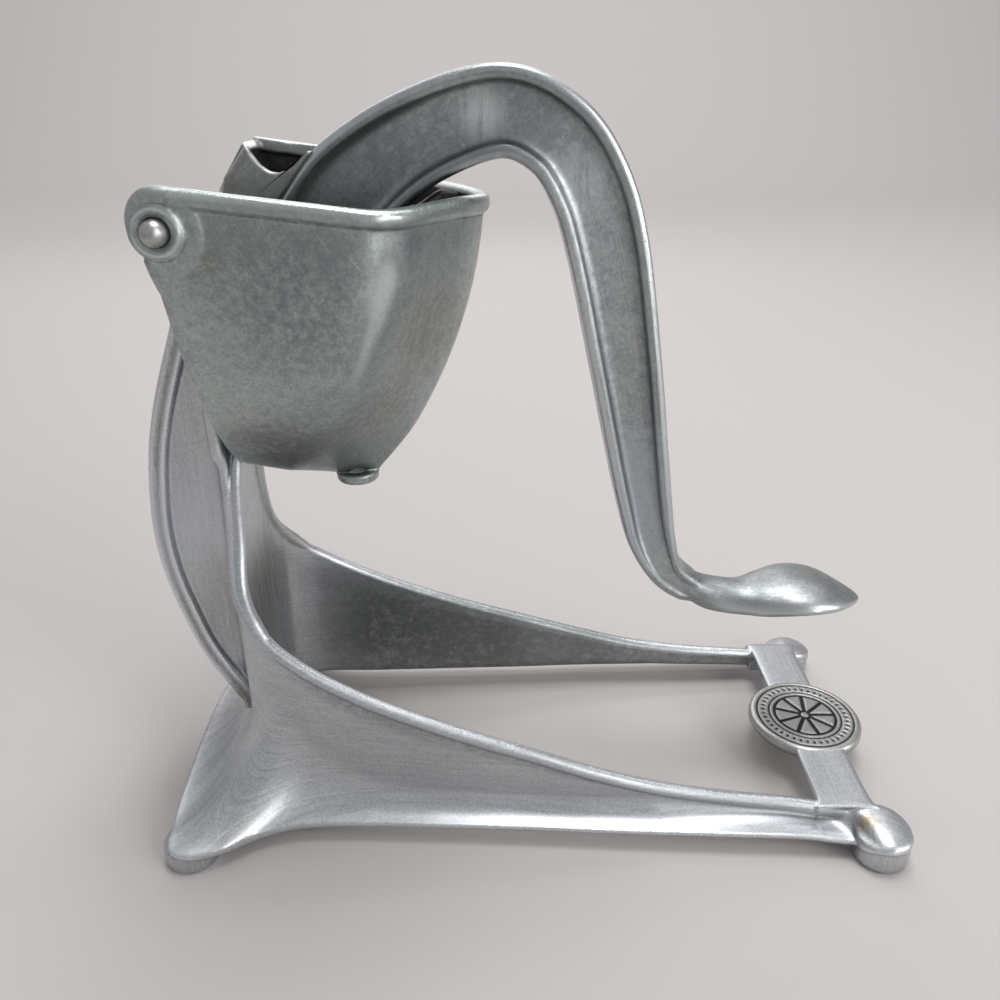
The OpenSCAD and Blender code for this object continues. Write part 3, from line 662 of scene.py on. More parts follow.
@dataclass
class Stand:
    """Column, side rails, feet and crossbar, cast in one.

    wall_rows holds, from the middle of the column to the far front foot, the x and y of the inner
    face, the height of its top, the x and y of the lip and the height of the lip. flange_rows
    holds x and z of the flange's back, arch_rows points of the bead over the column.
    """

    mount_x: float = -84.7
    plate_back: float = -87.7
    foot_front: float = 101.1
    foot_rear: float = -98.9
    foot_y: float = 46.2
    foot_r: float = 7.9
    rear_foot_h: float = 6.9
    rail_t: float = 3.0
    bead_r: float = 2.1
    lip_t: float = 3.0
    crossbar_top: float = 12.9
    crossbar_w: float = 15.5
    crossbar_t: float = 3.0
    crossbar_half: float = 40.5
    toe_r: float = 8.0
    toe_h: float = 9.0
    toe_top: float = 12.3
    far_drop: float = 2.6
    flange_t: float = 5.0
    flange_half: float = 7.5
    web_half: float = 5.0
    wall_rows: tuple = (
        (-83.2, 0, 115.5, -106, 0, 13.5), (-83.2, 7.5, 111.5, -105.9, 12, 13),
        (-83.2, 11.5, 102.5, -105.7, 20, 12.2), (-83.1, 13, 95, -105.6, 26, 11.5),
        (-82.9, 15.2, 84, -105.5, 31.5, 10.7), (-82.2, 18.3, 78, -105.5, 37, 9.7),
        (-80.8, 21.3, 72.7, -105.1, 42, 8.9), (-78.3, 23.7, 68.7, -104.7, 48.8, 8.2),
        (-75.3, 25.6, 64.6, -102.5, 53, 7.8), (-72.1, 27, 61.2, -96.9, 54, 7.5),
        (-68.2, 28, 58.2, -88.9, 51, 7.3), (-62.7, 29, 54.5, -79.9, 45.2, 7.2),
        (-54.7, 29.9, 50, -67.9, 41.8, 7.2), (-42, 31, 44, -47.9, 41.4, 7.2),
        (-20.7, 32.2, 35.8, -22.9, 42.2, 7.2), (0.3, 33.2, 29, 0.1, 43, 7.2),
        (18.5, 34.2, 23, 18.5, 44, 7.2), (37.3, 34.6, 17.9, 37.3, 44.8, 7.2),
        (58.2, 34.9, 14.6, 58.1, 45.6, 7.2), (77.3, 35.6, 12.7, 77.3, 46.3, 7.2),
        (95.1, 37.2, 10.5, 93.1, 47.5, 6.2))
    flange_rows: tuple = (
        (-86.7, 158.5), (-92.5, 154), (-97.6, 142), (-103.9, 125), (-108.1, 109), (-110.5, 89),
        (-109.8, 73), (-106.7, 58), (-101.7, 42), (-92, 24))
    arch_rows: tuple = (
        (-81.6, 0, 116.0), (-81.7, 4, 115.4), (-82.1, 8, 112.0), (-82.7, 10.6, 106.0),
        (-83.1, 11.9, 99.0), (-83.3, 12.8, 92.5), (-83.3, 14.4, 85.5), (-83.3, 17.2, 79.2),
        (-82.6, 20.4, 74.0), (-80.8, 23.4, 69.6), (-78.4, 25.6, 66.0), (-75.4, 27.4, 62.6))

    @staticmethod
    def brushed(skin: Skin) -> Skin:
        """The skin with its brushing lines along X."""
        x, y, z = skin.points.T
        return replace(skin, grain=stacked(x, z + 0.45 * np.abs(y), 0.0))

    def wall(self) -> Skin:
        """Side walls in one sweep from the near front foot round the column to the far one.

        Each ring runs over the bead, down the outer face, out along the cove to the lip, round the
        lip and up the inner face. Coves are quadratic Bezier curves and the bead is an arc.
        """
        half = spline(self.wall_rows, 10)
        inner, top, lip, low = half[:, :2], half[:, 2], half[:, 3:5], half[:, 5]
        n = sideways(inner)
        n[0] = (-1, 0)
        thick = self.rail_t
        b = thick / 2 + (self.bead_r - thick / 2) * ease(np.arange(len(half)) / 30.0)
        outer = inner + thick * n
        out = lip - outer
        cove = np.minimum.reduce([np.linalg.norm(out, axis=1), 0.7 * (top - low),
                                  top - low - 1.8 * b - 0.1])
        deep = np.minimum(cove, 5.0)

        last = -np.arccos(np.clip((thick - b) / b, -1, 1))
        share = np.linspace(0, 1, 19)
        a = np.pi + (last[:, None] - np.pi) * share
        over = inner[:, None] + (b[:, None] * (1 + np.cos(a)))[..., None] * n[:, None]
        bead = lifted(over, (top - 0.8 * b)[:, None] + b[:, None] * np.sin(a))
        foot, rim = lifted(outer, low + cove), lifted(lip, low)
        under = lifted(lip - 0.8 * thick * unit(out), low - self.lip_t)
        up = lifted(inner, low + deep)
        rim_corner = lifted(lip + 0.25 * unit(out), low - 0.75 * self.lip_t)
        inner_corner = lifted(inner, low + 0.22 * deep - 0.8 * self.lip_t)
        pieces = [bead, straight(bead[:, -1], foot, 5),
                  bend(foot, lifted(outer, low + 0.22 * cove), rim, 22),
                  bend(rim, rim_corner, under, 8)[:, 1:],
                  bend(under, inner_corner, up, 14)[:, 1:], straight(up, bead[:, 0], 5)]

        # Wear and painted highlight on the bead's top, the end of the cove and the lip; painted
        # shade in the crease under the bead, under the lip and on the inner face.
        wear_and_sheen, grime_and_shade = ([np.zeros(p.shape[1]) for p in pieces] for _ in range(2))
        wear_and_sheen[0] = hump(share, 0.36, 0.24) * 0.9
        wear_and_sheen[2][-3:] = (0.2, 0.5, 0.8)
        wear_and_sheen[3] = np.linspace(0.9, 0.3, len(wear_and_sheen[3]))
        grime_and_shade[0][-2:] = 0.45
        grime_and_shade[1][:1] = 0.35
        grime_and_shade[4][:] = 0.5
        grime_and_shade[5][:] = 0.52
        ring = np.concatenate(pieces, axis=1)
        whole = np.concatenate([(ring * [1, -1, 1])[:0:-1], ring])
        # The painted shade on the rail fades to 0.62 of its strength near the column.
        painted_shade_share = 0.62 + 0.38 * ease((half[:, 0] + 78) / 22)
        painted_shade_share = np.concatenate([painted_shade_share[:0:-1], painted_shade_share])[:, None]
        return self.brushed(Skin.grid(whole, np.concatenate(wear_and_sheen), painted_shade_share * np.concatenate(grime_and_shade)))

    def arch(self) -> Skin:
        """Bead that leaves one rail's bead, rises up the column and crosses over to the other."""
        path = spline(there_and_back(np.array(self.arch_rows)), 8)
        radius = np.interp(np.abs(path[:, 1]), [0, 12, 20, 25.4, 27.4], [1.4, 1.45, 1.9, 2.0, 1.3])
        return self.brushed(tube(path, radius, 24, 0.3))

    def column(self) -> Skin:
        """Column as level rings: plate with two beads, web between two fillets, curved flange.

        The flange's back follows a curve x(z); its depth in X is its thickness over the cosine of
        the curve's slope, so that it keeps its thickness across. The plate changes at z = 108,
        below which it is hidden in the wall and has smaller beads.
        """
        z = np.concatenate([np.linspace(22, 150, 86), np.linspace(151, 159, 14)])
        line = spline(self.flange_rows, 10)[::-1]
        back = np.interp(z, line[:, 1], line[:, 0])
        deep = self.flange_t * np.sqrt(1 + np.gradient(back, z) ** 2)
        z, deep, back = (v[:, None] for v in (z, deep, np.minimum(back, self.plate_back - 0.3)))
        face = np.minimum(back + deep, self.plate_back - 0.05)
        gap = self.plate_back - face
        r1, r2 = np.minimum(2.4, 0.48 * gap), np.minimum(1.0, 0.45 * gap)
        rim = np.minimum(1.1, 0.4 * deep)
        front = self.mount_x - 0.8 * ease((108 - z) / 6.0)
        wide = np.interp(z, [22, 70, 84, 96, 109, 124, 159], [14, 15, 14.4, 12.6, 12, 11.5, 11.5])
        high = ease((z - 108) / 4.0)
        bead_x, bead_r = self.mount_x - 1.3 - 0.95 * high, 1.5 + 0.6 * high
        bead_y = (wide - 1.5) * (1 - high) + 11.1 * high
        arc, quarter, half = turn(0, 165, 12), turn(0, 90, 9), self.flange_half
        fillet = bend(stacked(self.plate_back + 0.2, wide[:, 0] - 1.6),
                      stacked(self.plate_back - 0.5, self.web_half + 0.1 + 0 * wide[:, 0]),
                      stacked(self.plate_back - 2.2 - r1[:, 0], self.web_half), 14)

        section = Section(len(z))
        section.add(front, 0.0)
        section.add(front, bead_y - 2.6)
        section.add(bead_x + bead_r * arc[:, 0], bead_y + bead_r * arc[:, 1], 0.4)
        section.add(fillet[..., 0], fillet[..., 1], 0.15)
        section.add(face + r2 - r2 * quarter[::-1, 0],
                    self.web_half + r2 - r2 * quarter[::-1, 1], 0.0, 0.22)
        section.add(face - rim + rim * quarter[:, 0], half - rim + rim * quarter[:, 1], 0.8)
        section.add(face - 0.42 * deep - [0.0, 0.4, 0.8], half - np.array([0.05, 0.3, 0.05]),
                    0.0, 0.42)
        section.add(back + rim - rim * quarter[::-1, 0], half - rim + rim * quarter[::-1, 1], 0.9)
        section.add(back, 0.0)
        section.reflect((1, -1), close=True)
        ring, marks = section.whole()
        skin = Skin.grid(lifted(ring, z), marks[:, 0], marks[:, 1])
        return replace(skin, grain=stacked(skin.points[:, 2], skin.points[:, 0], 0.0))

    def toe(self, drop: float) -> Skin:
        """Rounded end of the far rail over its foot, as upright sections along X.

        Each section goes up the inner side, over the top, down to the lip and back below. The outer
        side is a quadratic Bezier curve whose middle point moves from the rail's hollow cove to the
        full dome of the toe. Over the foot both sides follow its circle, y = foot_y +- sqrt(r^2 -
        dx^2).

        Args:
            drop: how much lower its end lies.

        Returns:
            A closed skin.
        """
        r, middle_x = self.toe_r, self.foot_front
        x = np.concatenate([np.linspace(84.0, 92.6, 22), middle_x - r * turn(14, 88, 26)[:, 0],
                            middle_x + r * turn(2, 86, 30)[:, 1]])
        rail = np.array(self.wall_rows, float)
        inner, lip, low = (np.interp(x, rail[:, 0], rail[:, c]) for c in (1, 4, 5))
        after = x > middle_x
        wide = np.sqrt(np.maximum(0, r**2 - (x - middle_x) ** 2))
        round_side = self.foot_y + wide
        tuck = lip - 0.5 * (1 - ease((x - 87) / 5))
        larger = (tuck + round_side + np.sqrt((tuck - round_side) ** 2 + 0.4)) / 2
        y_out = np.where(after, round_side, larger)
        y_in = np.where(after, self.foot_y - wide,
                        inner - 0.1 + (38.3 - inner) * ease((x - 90) / 11))
        dome = self.toe_top - self.toe_h
        fall = self.toe_h + dome * np.sqrt(np.maximum(0, 1 - ((x - 98) / 11.2) ** 2))
        top = np.where(x > 98, fall, self.toe_top - dome * (1 - ease((x - 82) / 10)))
        top = top - drop * ease((x - 85) / 9)
        rise = ease((x - 91) / 8)
        rim = low + (self.toe_h - drop - low) * rise
        sole = rim - 2.4 + 1.2 * rise
        full = ease((x - 88) / 14)
        edge_r = np.minimum(1.6, 0.3 * (y_out - y_in))

        base_in, shoulder = stacked(y_in, sole), stacked(y_in, top - edge_r)
        crest, hem = stacked(y_in + edge_r, top), stacked(y_out, rim)
        base_out = stacked(y_out - 0.4, sole)
        middle = stacked((inner + 2.0) * (1 - full) + (y_out - 0.4) * full,
                         (rim - 0.3) * (1 - full) + (top - 0.5) * full)
        yz = np.concatenate([
            base_in[:, None], straight(base_in, shoulder, 4),
            bend(shoulder, stacked(y_in, top), crest, 7), bend(crest, middle, hem, 26)[:, 1:],
            bend(hem, stacked(y_out + 0.1, rim - 1.6), base_out, 7)[:, 1:],
            straight(base_out, base_in, 4)], axis=1)
        # Wear and painted highlight along the toe's lower outer edge.
        wear_and_sheen = 0.7 * hump(np.arange(yz.shape[1]), 37.0, 3.0)
        return self.brushed(Skin.grid(stacked(x[:, None], yz[..., 0], yz[..., 1]), wear_and_sheen))

    def foot(self, x: float, tall: float) -> Skin:
        """Round foot at x on the far side, with its height, turned from a profile."""
        r = self.foot_r
        profile = np.array([(0, 0), (r - 1.6, 0), (r - 0.8, 0.15), (r - 0.25, 0.6), (r, 1.5),
                            (r, 4.0), (r, tall - 0.7), (r - 1.0, tall), (0, tall)])
        wear = np.array([0, 0.3, 0.8, 0.8, 0.3, 0, 0, 0, 0])[:, None]
        d = circle(72)
        turned = stacked(profile[:, :1] * d[:, 0], profile[:, :1] * d[:, 1], profile[:, 1:])
        return Skin.grid(turned, wear).moved((x, self.foot_y, 0.0))

    def crossbar(self) -> Skin:
        """Bar between the front feet: a boxy round section swept along Y, flared at both ends.

        It is sunk under the medallion, below the grooves of the engraving.
        """
        y = np.linspace(-self.crossbar_half, self.crossbar_half, 120)[:, None]
        half = self.crossbar_w / 2 + 1.6 * np.exp(-(self.crossbar_half - np.abs(y)) / 1.6)
        d = circle(64)
        c, s = (np.sign(v) * np.abs(v) ** 0.35 for v in d.T)
        x = self.foot_front - 8.7 + half * c
        sunk = 0.8 * ease((15.8 - np.abs(y)) / 1.2)
        z = self.crossbar_top - sunk - self.crossbar_t / 2 * (1 - s)
        edge = hump(np.abs(c), 1.0, 0.12) * (s > -0.2)
        return Skin.grid(stacked(x, y, z), 0.7 * edge)

    def skin(self) -> Skin:
        """All of the casting but its medallion; the far front toe lies lower than the near one."""
        ends = [self.toe(self.far_drop), self.toe(0.0).mirrored(),
                self.foot(self.foot_front, self.toe_h - self.far_drop - 0.1),
                self.foot(self.foot_front, self.toe_h - 0.1).mirrored()]
        rear = both(self.foot(self.foot_rear, self.rear_foot_h))
        return join([self.wall(), self.arch(), self.column(), self.crossbar(), *ends, *rear])


@dataclass
class Medallion:
    """Round boss in the middle of the crossbar: a plain citrus slice in a dotted border."""

    centre: Point = (92.4, 0.0, 8.3)
    radius: float = 18.05
    edge_r: float = 1.65
    height: float = 4.95
    groove: float = 0.42
    slices: int = 9
    dots: int = 40
    dot_ring: float = 13.5

    def engraving(self, r: Array, a: Array) -> Array:
        """How deep the disc is engraved, from 0 to 1, by radius and angle.

        Rings are bell curves of the radius, the dots are products of bell curves of the radius and
        of the angle, and each slice of the fruit is a rounded wedge with a sunk outline.
        """
        rings = hump(r, 15.5, 0.32) + hump(r, 11.6, 0.30)
        step = np.abs((a * self.dots / (2 * np.pi)) % 1.0 - 0.5)
        along = step * 2 * np.pi * self.dot_ring / self.dots
        dots = hump(along, 0.0, 0.45) * hump(r, self.dot_ring, 0.75)
        step = np.abs((a * self.slices / (2 * np.pi)) % 1.0 - 0.5)
        to_side = (0.5 - step) * 2 * np.pi * r / self.slices
        wedge = ease((to_side - 0.45) / 0.35) * ease((r - 1.9) / 0.5) * ease((9.6 - r) / 0.4)
        fruit = ease((10.4 - r) / 0.2) * (1 - wedge) * ease((r - 1.1) / 0.3)
        return np.clip(rings + dots + fruit, 0, 1)

    def skin(self) -> Skin:
        """Disc whose top is lowered by the engraving, with a rounded edge and a tapered side."""
        flat = np.linspace(0.0, self.radius - self.edge_r, 150)
        round_edge = self.edge_r * turn(90, 0, 10)[1:]
        r = np.concatenate([flat, self.radius - self.edge_r + round_edge[:, 0]])[:, None]
        fall = np.concatenate([0 * flat, self.edge_r - round_edge[:, 1]])[:, None]
        a = np.linspace(0, 2 * np.pi, 541)[:-1][None]
        sunk = self.engraving(r, a)
        top = stacked(r * np.cos(a), r * np.sin(a), self.height - self.groove * sunk - fall)
        side = np.array([(self.radius, 2.2), (17.2, 1.0), (15.6, 0.0), (0.0, 0.0)])
        below = stacked(side[:, :1] * np.cos(a), side[:, :1] * np.sin(a), side[:, 1:])
        hollow = 1.2 * np.concatenate([sunk, np.zeros((len(side), a.size))])
        edge = np.repeat([0.30, 0.8, 0.0], (len(flat), len(round_edge), len(side)))[:, None]
        edge = edge * np.clip(1 - hollow, 0, 1)
        return Skin.grid(np.concatenate([top, below]), edge, hollow).moved(self.centre)


# ---- Cup and pressing head ----


@dataclass
class Scoop:
    """The rounded polygon that the cup and the pressing head share.

    A ring has a straight back, two straight sides and a blunt point. For a direction d from its
    middle, the distance to the wall is (sum over faces of (d.n / h)^p)^(-1/p).
    """

    half_w: float = 40.0
    depth: float = 67.6
    rim_h: float = 9.3
    tip_rise: float = 2.0
    reach: float = 68.0
    tip_len: float = 21.5
    back: float = 4.0
    wall: float = 2.8

    def ring(self, rear: Array, front: Array, half_w: Array, point: Array, angles: Array) -> Array:
        """Rings for columns of sizes.

        Args:
            rear: x of the back, one row per ring.
            front: x of the point.
            half_w: half the width.
            point: length of the pointed part.
            angles: angles round the ring, in radians.

        Returns:
            rings x angles x 2 points.
        """
        rear, front, half_w, point = (v[:, None] for v in (rear, front, half_w, point))
        middle = rear + 0.48 * (front - rear)
        far = (front - middle) * 2 ** (1 / 12)
        b = np.arctan2(point, half_w)
        d = unit(stacked((front - rear) / 2 * np.cos(angles), half_w * np.sin(angles)))
        dx, dy = d[..., 0], d[..., 1]
        p = 12.0 + 28.0 * ease(-3.0 * dx)
        faces = ((-dx, middle - rear), (dy, half_w), (-dy, half_w),
                 (dx * np.cos(b) + dy * np.sin(b), far * np.cos(b)),
                 (dx * np.cos(b) - dy * np.sin(b), far * np.cos(b)))
        r = sum(np.maximum(0.0, v / h) ** p for v, h in faces) ** (-1 / p)
        return stacked(middle + dx * r, dy * r)

    def back_x(self, z: Array) -> Array:
        """x of the cup's back at heights z; it leans forward below the pin."""
        return -self.back - 0.21 * np.minimum(0, z)

    def sizes(self, z: Array, grow: Array) -> tuple[Array, Array, Array, Array]:
        """Back, point, half width and length of the pointed part at heights z.

        Args:
            z: heights from the pin.
            grow: how far the wall is moved out.

        Returns:
            The first four arguments of ring.
        """
        s = np.minimum(0, z) / (self.depth + grow)
        low = ease((-s - 0.75) / 0.25)
        front = self.reach + 2.8 * s - 18.4 * s**2 - 3.4 * low + 1.05 * grow
        half_w = (self.half_w + grow) * np.sqrt(np.maximum(0, 1 - s**2))
        return self.back_x(z) - grow, front, half_w, self.tip_len + 3.7 * np.minimum(0.8, -s)

    def corner(self, z: Array) -> Array:
        """Where the straight side meets the pointed part at heights z."""
        rear, front, _, point = self.sizes(z, 0 * z)
        return front + 0.03 * (front - rear) - point

    def levels(self, z: Array, grow: Array, angles: Array) -> Array:
        """Rings of the cup at heights z, with the wall moved out by grow; rings x angles x 3."""
        low = ease((-np.minimum(0, z) / (self.depth + grow) - 0.75) / 0.25)[:, None]
        xy = self.ring(*self.sizes(z, grow), angles)
        x = xy[..., 0]
        to_tip = ease((x - self.reach + self.tip_len + 4) / (self.tip_len + 2))
        rise = self.tip_rise * ease(z / self.rim_h)[:, None] * to_tip
        return lifted(xy, z[:, None] + rise - 0.08 * np.maximum(0, x - 12) * low)


@dataclass
class JuiceCup:
    """Cup with its rim bead, ears, bosses and drip nub.

    rim_roll holds the height and the growth of the wall over the rim, from the outside in.
    pad_outline is the (x, z) loop of the pad that meets the column's plate.
    """

    scoop: Scoop = field(default_factory=Scoop)
    boss_r: float = 6.0
    boss_in: float = 34.5
    boss_face: float = 41.8
    ear_r: float = 6.6
    ear_in: float = 36.8
    ear_out: float = 40.0
    pad_half: float = 8.8
    nub: Point = (-50.9, 0.0, 100.0)
    nub_r: float = 6.0
    outlet_r: float = 3.2
    rim_roll: tuple = (
        (1.2, 0), (4.4, 0), (5.2, 0.1), (5.6, 0.5), (6.1, 1.05), (7.1, 1.3), (8.2, 1.2),
        (9.0, 0.55), (9.3, -0.5), (9.2, -1.5), (8.8, -2.3), (8.1, -2.7), (6.5, -2.8), (3, -2.8))
    pad_outline: tuple = ((-2.45, -58), (6, -58), (6, -24), (-2.45, -24))

    def shell(self) -> Skin:
        """Outer wall, rolled rim and inner wall as one surface.

        The rows go up the outside, over the rim and down the inside. Above a level, the heights are
        squeezed towards a lower edge behind the ears, where the back of the cup is open.
        """
        s = self.scoop
        fall = np.sin(np.radians([86, *np.linspace(84, 4, 42)]))
        roll = spline(self.rim_roll, 4)
        z = np.concatenate([-fall * s.depth, roll[:, 0], -fall[::-1] * (s.depth - s.wall)])
        grow = np.concatenate([0 * fall, roll[:, 1], 0 * fall - s.wall])
        start, end = len(fall), len(fall) + len(roll)

        angles = np.radians(np.arange(360))
        x, y, _ = s.levels(np.zeros(1), np.zeros(1), angles)[0].T
        side = ease((x - 1.5) / 2.0)
        open_back = ease((36.5 - np.abs(y)) / 1.5) * (x < 1.0)
        top = (-3 + (s.rim_h + 3) * side) * (1 - open_back) - 9 * open_back
        share = side * (1 - open_back)
        plain = s.levels(z, np.minimum(grow, 0), angles)
        p = plain + (s.levels(z, grow, angles) - plain) * share[:, None]
        p[..., 2] += np.maximum(0, z + 14)[:, None] * ((top + 14) / (s.rim_h + 14) - 1)

        # Wear and painted highlight along the top of the rim's bead, painted highlight down the
        # corner between side and point; painted shade in a line under the bead and over the whole
        # inside of the cup.
        bead, grime_and_shade, outside = np.zeros(len(z)), np.zeros(len(z)), np.arange(len(z)) < start
        bead[start:end] = hump(np.linspace(0, 1, len(roll)), 0.55, 0.2)
        grime_and_shade[end - 8:] = 0.95
        grime_and_shade[start:end] += 0.55 * hump(roll[:, 0], 5.2, 0.35) * (roll[:, 1] > -0.2)
        corner = 1.1 * hump(p[..., 0], s.corner(z)[:, None] + 0.5, 2.3)
        corner *= (ease((z + 50) / 40) * outside)[:, None]
        return Skin.grid(p, bead[:, None] * (0.3 + 0.7 * share) + corner, grime_and_shade[:, None])

    def ear(self) -> Skin:
        """Far ear: a rounded plate, the end of the rim's bead, and the boss with its hub.

        The plate's outline is a spiral from the boss up to the rim, and the bead follows it.
        """
        rim_h, r = self.scoop.rim_h, self.boss_r
        a = np.linspace(250, 90, 50)
        reach = self.ear_r + (rim_h - 0.05 - self.ear_r) * ease((190 - a) / 100)
        spiral = reach[:, None] * turn(250, 90, 50)
        rest = [(x, rim_h - 0.05) for x in (3.0, 6.0, 9.0)]
        rest += [(9, 0), (8, -10.6), (3.0, -10.6), (-1.0, -9.4)]
        plate = puck(np.vstack([spiral, rest]), self.ear_in, self.ear_out, 1.3)
        x, y, z = plate.points.T
        wall = self.ear_out * (1 - np.sqrt(1 - (np.minimum(z, 0) / self.scoop.depth) ** 2))
        sunk = wall + 0.5 * ease((x - 2.0) / 3.0) + 0.4 * ease((-z - 6.0) / 3.0)
        plate.points[:, 1] = y - sunk * (y > 38.0)
        plate.edge = plate.edge * (1 - ease((x - 1.0) / 3.0)) * (1 - ease((-z - 5.0) / 3.0))

        on = [(1.5, 2.0), (3.5, 2.15), (6.0, 2.6), (9.0, 3.2), (12.0, 3.8)]
        path = np.vstack([spiral[4:] * (1 - 2.0 / reach[4:, None]),
                          [(x, rim_h - below) for x, below in on]])
        line = stacked(path[:, 0], 39.3 - 0.14 * np.maximum(0, path[:, 0] - 1.5), path[:, 1])
        fade = ease(np.arange(len(line)) / 14.0)
        thick = (0.5 + 1.5 * fade) * (1 - 0.35 * ease((path[:, 0] - 3) / 9))
        return join([plate, tube(line, thick, 28, 0.42), self.boss(),
                     puck(circle(72) * r, self.boss_in, 39.2, 0.7)])

    def boss(self) -> Skin:
        """Raised ring round the pin, drawn out to the front into the cup's side."""
        r, face = self.boss_r, self.boss_face
        profile = spline((
            (r + 2.6, 39.3), (r + 2.0, 40.0), (r + 1.1, 40.5), (r + 0.3, 40.75), (r - 0.3, 41.25),
            (r - 0.9, 41.65), (r - 1.5, face - 0.02), (r - 2.0, face - 0.1), (r - 2.5, 41.4),
            (r - 3.0, 41.1)), 4)
        d = circle(72)
        out, height = profile[:, :1], profile[:, 1:]
        wide = 1 + 0.16 * ease(d[:, 0] + 0.3) * ease((out - r + 0.2) / 1.5)
        keep = 1 - 0.28 * ease(-1.6 * d[:, 0]) * ease((out - r) / 1.5)
        # Painted shade: dark in the groove round the pin and in a ring on the boss's outer slope.
        grime_and_shade = 0.9 * ease((r - 2.5 - out) / 0.4) + 0.5 * hump(out, r + 0.1, 0.35)
        ring = out * wide * keep
        return Skin.grid(stacked(ring * d[:, 0], height, ring * d[:, 1]),
                         hump(out, r - 1.2, 0.5), grime_and_shade)

    def spout(self) -> Skin:
        """Drip nub, a turned tube that is open below: up the outside and down the bore.

        A row holds the radius, the height, the wear, and the deposit and painted shade, full in the
        bore.
        """
        r, o = self.nub_r, self.outlet_r
        rows = np.array([
            (r - 1.0, 0.1, 0.7, 0), (r - 0.35, 0.3, 0.9, 0), (r, 0.9, 0.5, 0), (r, 1.5, 0, 0.1),
            (r + 0.05, 2.0, 0, 0.3), (r + 0.2, 2.4, 0, 0.2), (r + 0.2, 2.9, 0, 0), (o, 2.9, 0, 1),
            (o, 2.2, 0, 1), (o, 1.0, 0, 1), (o + 0.3, 0.3, 0.3, 0.5), (o + 0.9, 0.05, 0.5, 0),
            (r - 1.6, 0.0, 0.6, 0), (r - 1.0, 0.1, 0.7, 0)])
        out, height, wear, dirt_and_shade = (rows[:, k:k + 1] for k in range(4))
        d = circle(64)
        tube_wall = stacked(out * d[:, 0], out * d[:, 1], height)
        return Skin.grid(tube_wall, wear, dirt_and_shade, capped=False).moved(self.nub)

    def skin(self) -> Skin:
        """The whole casting, with the pad that meets the column's plate."""
        pad = puck(self.pad_outline, -self.pad_half, self.pad_half, 0.8)
        tilted = [s.moved(PIN, TILT) for s in (self.shell(), *both(self.ear()))]
        return join([*tilted, self.spout(), pad.moved(PIN)])


